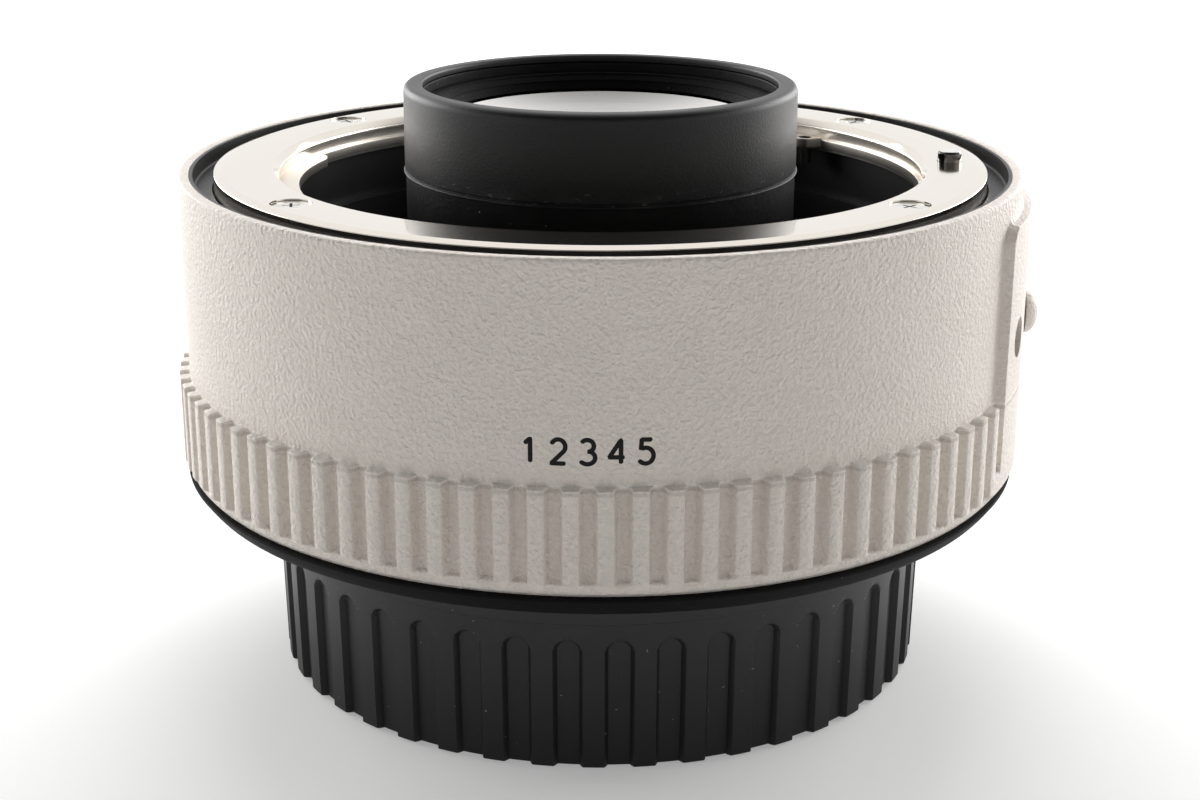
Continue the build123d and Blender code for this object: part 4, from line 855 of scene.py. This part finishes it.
RETAINER_STEPS = ((13.8, 48.2), (13.2, 47.7))
RETAINER_RISER = 0.11
ring_face = [(12.6, 47.0, 0.02), (14.85, 47.75, 0.02), (14.85, 48.26, 0.05), (14.0, 48.26, 0.12)]
for radius, level in RETAINER_STEPS:
    ring_face += [(radius, level, 0.02), (radius, level - RETAINER_RISER, 0.02)]
retaining = turned("glass_retainer", rounded(ring_face, steps=3))
dead_black = satin_black("dead_black", 0.001, 0.002, 0.6, 0.0004, 0.3)
dead_black.shine(specular_ior_level=0.08)
fitted("glass_retainer", retaining, dead_black, "barrel", "flat_black", "front_retaining_ring")

# The front glass: optical glass, ground hollow in front and coated. It mirrors brightly at a low angle
# and looks dark from straight above.


def coated_glass():
    """Glass whose front mirrors more the flatter it is seen, as a coated lens does."""
    glass = Finish("coated_glass")
    point = glass.place()
    film = glass.noise(point, 0.012, 2.0)
    glass.shine(
        base_color=(0.93, 0.96, 0.98),
        roughness=0.02 + 0.02 * film,
        transmission_weight=1.0,
        ior=1.6,
        coat_weight=1.0,
        coat_roughness=0.02,
    )
    mirror = glass.node(
        "ShaderNodeBsdfPrincipled",
        sockets={"Base Color": (0.98, 0.955, 0.935), "Metallic": 1.0, "Roughness": 0.03},
    )
    facing = glass.node("ShaderNodeLayerWeight", sockets={"Blend": 0.5}, output="Facing")
    share = facing.between(0.35, 0.72) * 0.92 + 0.03
    main = Socket(glass, glass.shader.outputs[0])
    both = glass.node("ShaderNodeMixShader", sockets={0: share, 1: main, 2: mirror})
    glass.tree.links.new(both.output, glass.sheet.inputs["Surface"])
    return glass


def lens_mesh(name, radius, apex, front_curve, rear_apex, rear_curve):
    """Glass between two spheres: each face falls by c - sqrt(c^2 - r^2) from its apex at radius r."""
    r = np.linspace(0, radius, 40)

    def fall(curve):
        return np.sign(curve) * (abs(curve) - np.sqrt(curve**2 - r**2))

    front = np.stack([r, apex - fall(front_curve)], 1)
    rear = np.stack([r, rear_apex + fall(rear_curve)], 1)
    return turned(name, np.concatenate([rear, front[::-1]]), 180, poles=True)


lens_coat = coated_glass()
front_glass = lens_mesh("front_glass", 13.6, 44.05, -30.0, 42.74, 80.0)
fitted("front_glass", front_glass, lens_coat, "barrel", "coated_glass", "lens_element_1")

# The rear cover: a black anodised aluminium ring, turned with a bevelled edge. It closes the barrel
# below the ribs and is held by the rear plate's screws.

cover_black = satin_black("cover_black", 0.002, 0.004, 0.55, 0.00025, 1.0)
cover_black.shine(specular_ior_level=0.06)
cover_outline = rounded([
    (31.6, 16.2, 0.05),
    (34.8, 16.2, 0.3),
    (35.3, 16.75, 0.6),
    (35.95, 17.65, 0.15),
    (35.95, 17.88, 0.03),
    (29.45, 17.88, 0.03),
    (29.45, 17.25, 0.03),
    (31.6, 17.25, 0.03),
])
cover_mesh = turned("cover_ring", cover_outline)
fitted("cover_ring", cover_mesh, cover_black, "barrel", "black_lacquer", "rear_cover")

# The rear cap: moulded black plastic, drafted towards its foot, with round-topped grip grooves. Three
# lugs in its bore hold it on the rear bayonet.

CAP_GROOVES = 44
CAP_GROOVE_PHASE = -86.8
CAP_GROOVE_RADIUS = 1.065
CAP_GROOVE_TOP = 11.02
CAP_GROOVE_DEPTH = 0.5
CAP_MEAN_RADIUS = 28.3
CAP_FLOOR = 2.3
CAP_BAND_FOOT = 12.2
CAP_RIM = 0.08
CAP_LAND_HALF = 18.73


def cap_mesh():
    """The cap's outline carried round the axis, above a square land that it stands on: the land's
    radius is its half side over the larger of |cos| and |sin|. On the outer wall each groove takes its
    depth off the radius, eased over the signed distance to an upright slot with a half-round top.
    """
    rows = np.concatenate([[0, 0.08, 0.2, 0.35, 0.8, 3, 6], np.linspace(9.3, 11.1, 22), [11.6, 12.1]])
    wall = 28.2 + 0.25 * np.clip(rows / CAP_BAND_FOOT, 0, 1)
    wall -= 0.2 * (1 - np.sqrt(1 - (1 - np.clip(rows / 0.2, 0, 1)) ** 2))
    foot = [(0, 0), (1, 0), (1, CAP_RIM), (27.2, CAP_RIM)]
    upper = [(28.46, 12.47), (28.52, 12.5), (28.6, 12.56), (28.6, 12.9), (28.6, 15.65), (28.56, 15.8)]
    mouth = [(28.45, 15.85), (27.25, 15.85), (27.15, 15.75), (27.15, 9.9), (27.1, 9.8)]
    bore = [(26.25, 9.8), (26.2, 9.7), (26.2, 2.7), (25.8, CAP_FLOOR), (0, CAP_FLOOR)]
    outline = np.concatenate([foot, np.stack([wall, rows + CAP_RIM], 1), upper, mouth, bore])
    pitch = 360 / CAP_GROOVES
    reach = math.degrees(CAP_GROOVE_RADIUS / CAP_MEAN_RADIUS)
    on_land = [pitch / 2 - 0.9, pitch / 2, pitch / 2 + 0.9]
    local = np.concatenate([np.linspace(-reach * 1.1, reach * 1.1, 17), on_land])
    azimuth = (CAP_GROOVE_PHASE + pitch * np.arange(CAP_GROOVES)[:, None] + local).ravel()
    azimuth = np.sort(azimuth % 360)
    from_groove = (azimuth - CAP_GROOVE_PHASE + pitch / 2) % pitch - pitch / 2
    across = np.abs(np.radians(from_groove)) * CAP_MEAN_RADIUS
    above = np.maximum(rows - (CAP_GROOVE_TOP - CAP_GROOVE_RADIUS), 0)[:, None]
    distance = np.hypot(across[None, :], above) - CAP_GROOVE_RADIUS
    depth = CAP_GROOVE_DEPTH * (1 - eased(distance, -0.16, 0.06))
    angle = np.radians(azimuth)
    radius = np.repeat(outline[:, :1], len(azimuth), 1)
    radius[1:3] = CAP_LAND_HALF / np.maximum(np.abs(np.cos(angle)), np.abs(np.sin(angle)))
    radius[len(foot) : len(foot) + len(rows)] -= depth
    return grid_mesh("cap", around(radius, angle, outline[:, 1:]), poles=True, sharp=60)


# Below 12.5 mm the cap's black deepens as painted shade.
cap_black = satin_black("cap_black", 0.011, 0.015, 0.36, 0.00015, 0.5, shaded_from=0.0125)
cap_black.shine(specular_ior_level=0.36)
cap_lugs = [lug_mesh(azimuth, 25.4, 27.2, 13.47, 14.47, 25) for azimuth in (10, 130, 250)]
cap_whole = joined("cap", [cap_mesh(), *cap_lugs])
fitted("cap", cap_whole, cap_black, "rear_cap", "cap_plastic", "rear_cap")

# The inner pieces and small parts, which stay as the drawing has them: moulded plastic, spring and
# screw steel, gilt contacts, circuit board, glass and paint. Each gets the finish of its material.


def moulded(name, dark, light, roughness, metallic=0.0, size=0.003):
    """A plain finish for an inner piece: two close tones, uneven gloss and a fine grain."""
    coat = Finish(name)
    point = coat.place()
    cloud = coat.noise(point, size, 3.0, 0.6)
    grain = coat.noise(point, 0.00025, 2.0)
    coat.shine(
        base_color=coat.tint(cloud.between(0.3, 0.7), dark, light),
        roughness=roughness + 0.1 * (grain - 0.5),
        metallic=metallic,
        normal=coat.relief(grain, 0.00001),
    )
    return coat


flat_black = moulded("flat_black", (0.006, 0.006, 0.006), (0.011, 0.011, 0.011), 0.55)
carried = [
    (flat_black, ("front_spacer", "rear_spacer", "rear_retaining_ring")),
    (
        moulded("block_plastic", (0.007, 0.007, 0.007), (0.012, 0.012, 0.012), 0.42),
        ("inner_chassis", "chassis_floor", "front_contact_block", "rear_contact_block", "rear_baffle"),
    ),
    (
        moulded("spring_steel", (0.45, 0.44, 0.42), (0.58, 0.57, 0.54), 0.3, 1.0),
        ("bayonet_spring", "lock_pin_spring", "contact_pin_springs", "mount_shim"),
    ),
    (
        steel,
        (
            "rotation_stop_pin",
            "lock_pin_dowel",
            "release_slider",
            "slider_guide",
            "contact_block_screws",
            "board_screws",
            "lens_tube_screws",
            "rear_plate_screws",
            "rear_mount_screws",
            "rear_contact_screws",
        ),
    ),
    (
        moulded("gold_contact", (0.83, 0.62, 0.26), (0.9, 0.72, 0.36), 0.22, 1.0, 0.0008),
        ("front_contact_pins", "rear_contact_pads"),
    ),
    (
        moulded("board_green", (0.01, 0.10, 0.045), (0.02, 0.15, 0.07), 0.3),
        ("contact_backplate", "circuit_board"),
    ),
    (moulded("chip_black", (0.02, 0.02, 0.02), (0.035, 0.035, 0.035), 0.5), ("board_chips",)),
    (moulded("connector_white", (0.6, 0.57, 0.48), (0.7, 0.68, 0.6), 0.45), ("board_connectors",)),
    (moulded("flex_amber", (0.35, 0.15, 0.03), (0.45, 0.22, 0.05), 0.25), ("front_flex", "rear_flex")),
    (lens_coat, ("lens_element_2", "lens_element_3", "lens_element_4", "lens_element_5")),
    (nickel, ("rear_mount_ring",)),
    (cover_black, ("rear_plate",)),
    (
        moulded("index_red", (0.5, 0.012, 0.008), (0.6, 0.02, 0.012), 0.25, 0.0, 0.0006),
        ("lens_index_dot", "camera_index_dot"),
    ),
]
for coat, names in carried:
    for name in names:
        carried_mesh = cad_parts[name].data
        carried_mesh.materials.clear()
        carried_mesh.materials.append(coat.material)

# The table: a sheet of white paper that shows a soft shadow and runs out of the picture on all sides.
# It gives off a little light of its own to the camera, so that it turns white where it isn't shaded.

TABLE_HALF = 3.0
TABLE_TOP = -0.00002
PAPER_GLOW = 0.3
table_mesh = bpy.data.meshes.new("table")
table_mesh.from_pydata(
    [(x * TABLE_HALF, y * TABLE_HALF, TABLE_TOP) for x, y in ((-1, -1), (1, -1), (1, 1), (-1, 1))],
    [],
    [(0, 1, 2, 3)],
)
table = bpy.data.objects.new("table", table_mesh)
bpy.context.scene.collection.objects.link(table)
paper = Finish("paper")
paper.shine(base_color=(0.79, 0.79, 0.785), roughness=0.9, specular_ior_level=0.0)
seen, mirrored, through = (
    paper.node("ShaderNodeLightPath", output=ray)
    for ray in ("Is Camera Ray", "Is Glossy Ray", "Is Transmission Ray")
)
glow = (seen + mirrored + through).maths("MINIMUM", 1.0) * PAPER_GLOW
paper.shine(emission_color=(1, 1, 1), emission_strength=glow)
table_mesh.materials.append(paper.material)

# The light: a soft box at each side and a third behind and above, in a pale room. The room is white
# behind the object and dark in front of it, apart from a low band that brightens towards the sides.

LIT_POINT = (0, 0, 0.03)


def soft_box(name, place, height, power):
    """A rectangular area light, 0.5 m wide, turned towards the lit point."""
    lamp = bpy.data.lights.new(name, "AREA")
    lamp.shape = "RECTANGLE"
    lamp.size = 0.5
    lamp.size_y = height
    lamp.energy = power
    box = bpy.data.objects.new(name, lamp)
    bpy.context.scene.collection.objects.link(box)
    aim = Vector(LIT_POINT) - Vector(place)
    box.matrix_world = Matrix.Translation(place) @ aim.to_track_quat("-Z", "Y").to_matrix().to_4x4()
    return box


soft_box("left_box", (-0.42, 0.33, 0.15), 0.26, 2.2)
soft_box("right_box", (0.42, 0.33, 0.15), 0.26, 2.3)
back_box = soft_box("back_box", (0, 0.46, 0.50), 0.4, 2.6)
back_box.visible_glossy = False


class Room(Finish):
    """The room round the table. Its nodes are made and fed as a finish's are."""

    def __init__(self, name):
        self.world = bpy.data.worlds.new(name)
        self.world.use_nodes = True
        self.tree = self.world.node_tree
        self.backdrop = self.tree.nodes["Background"]


room = Room("room")
bpy.context.scene.world = room.world
x, y, z = room.axes(room.node("ShaderNodeTexCoord", output="Generated"))
behind = y.between(-0.1, 0.5, 0.08, 1.0)
flanks = (x * x).between(0.25, 0.85, 0.58, 1.6)
low = z.between(0.1, 0.5, 1.0, 0.0)
room.feed(room.backdrop.inputs["Strength"], behind.maths("MAXIMUM", flanks * low))
room.feed(room.backdrop.inputs["Color"], (1, 1, 1))

# The camera: at the photograph's place, 169 mm in front of the axis and 76 mm above the table. It looks
# down by 18 degrees through a 60 mm lens.

CAMERA_PLACE = (0.000003, -0.16862, 0.07618)
LOOK_DOWN = 18.005
CAMERA_ROLL = 0.12
camera_data = bpy.data.cameras.new("camera")
camera_data.lens = 60.0
camera_data.sensor_width = 36.0
camera_data.clip_start = 0.01
camera = bpy.data.objects.new("camera", camera_data)
bpy.context.scene.collection.objects.link(camera)
pitch = Matrix.Rotation(math.radians(90 - LOOK_DOWN), 4, "X")
roll = Matrix.Rotation(math.radians(CAMERA_ROLL), 4, "Z")
camera.matrix_world = Matrix.Translation(CAMERA_PLACE) @ pitch @ roll
bpy.context.scene.camera = camera
bpy.context.scene.view_settings.view_transform = "Standard"
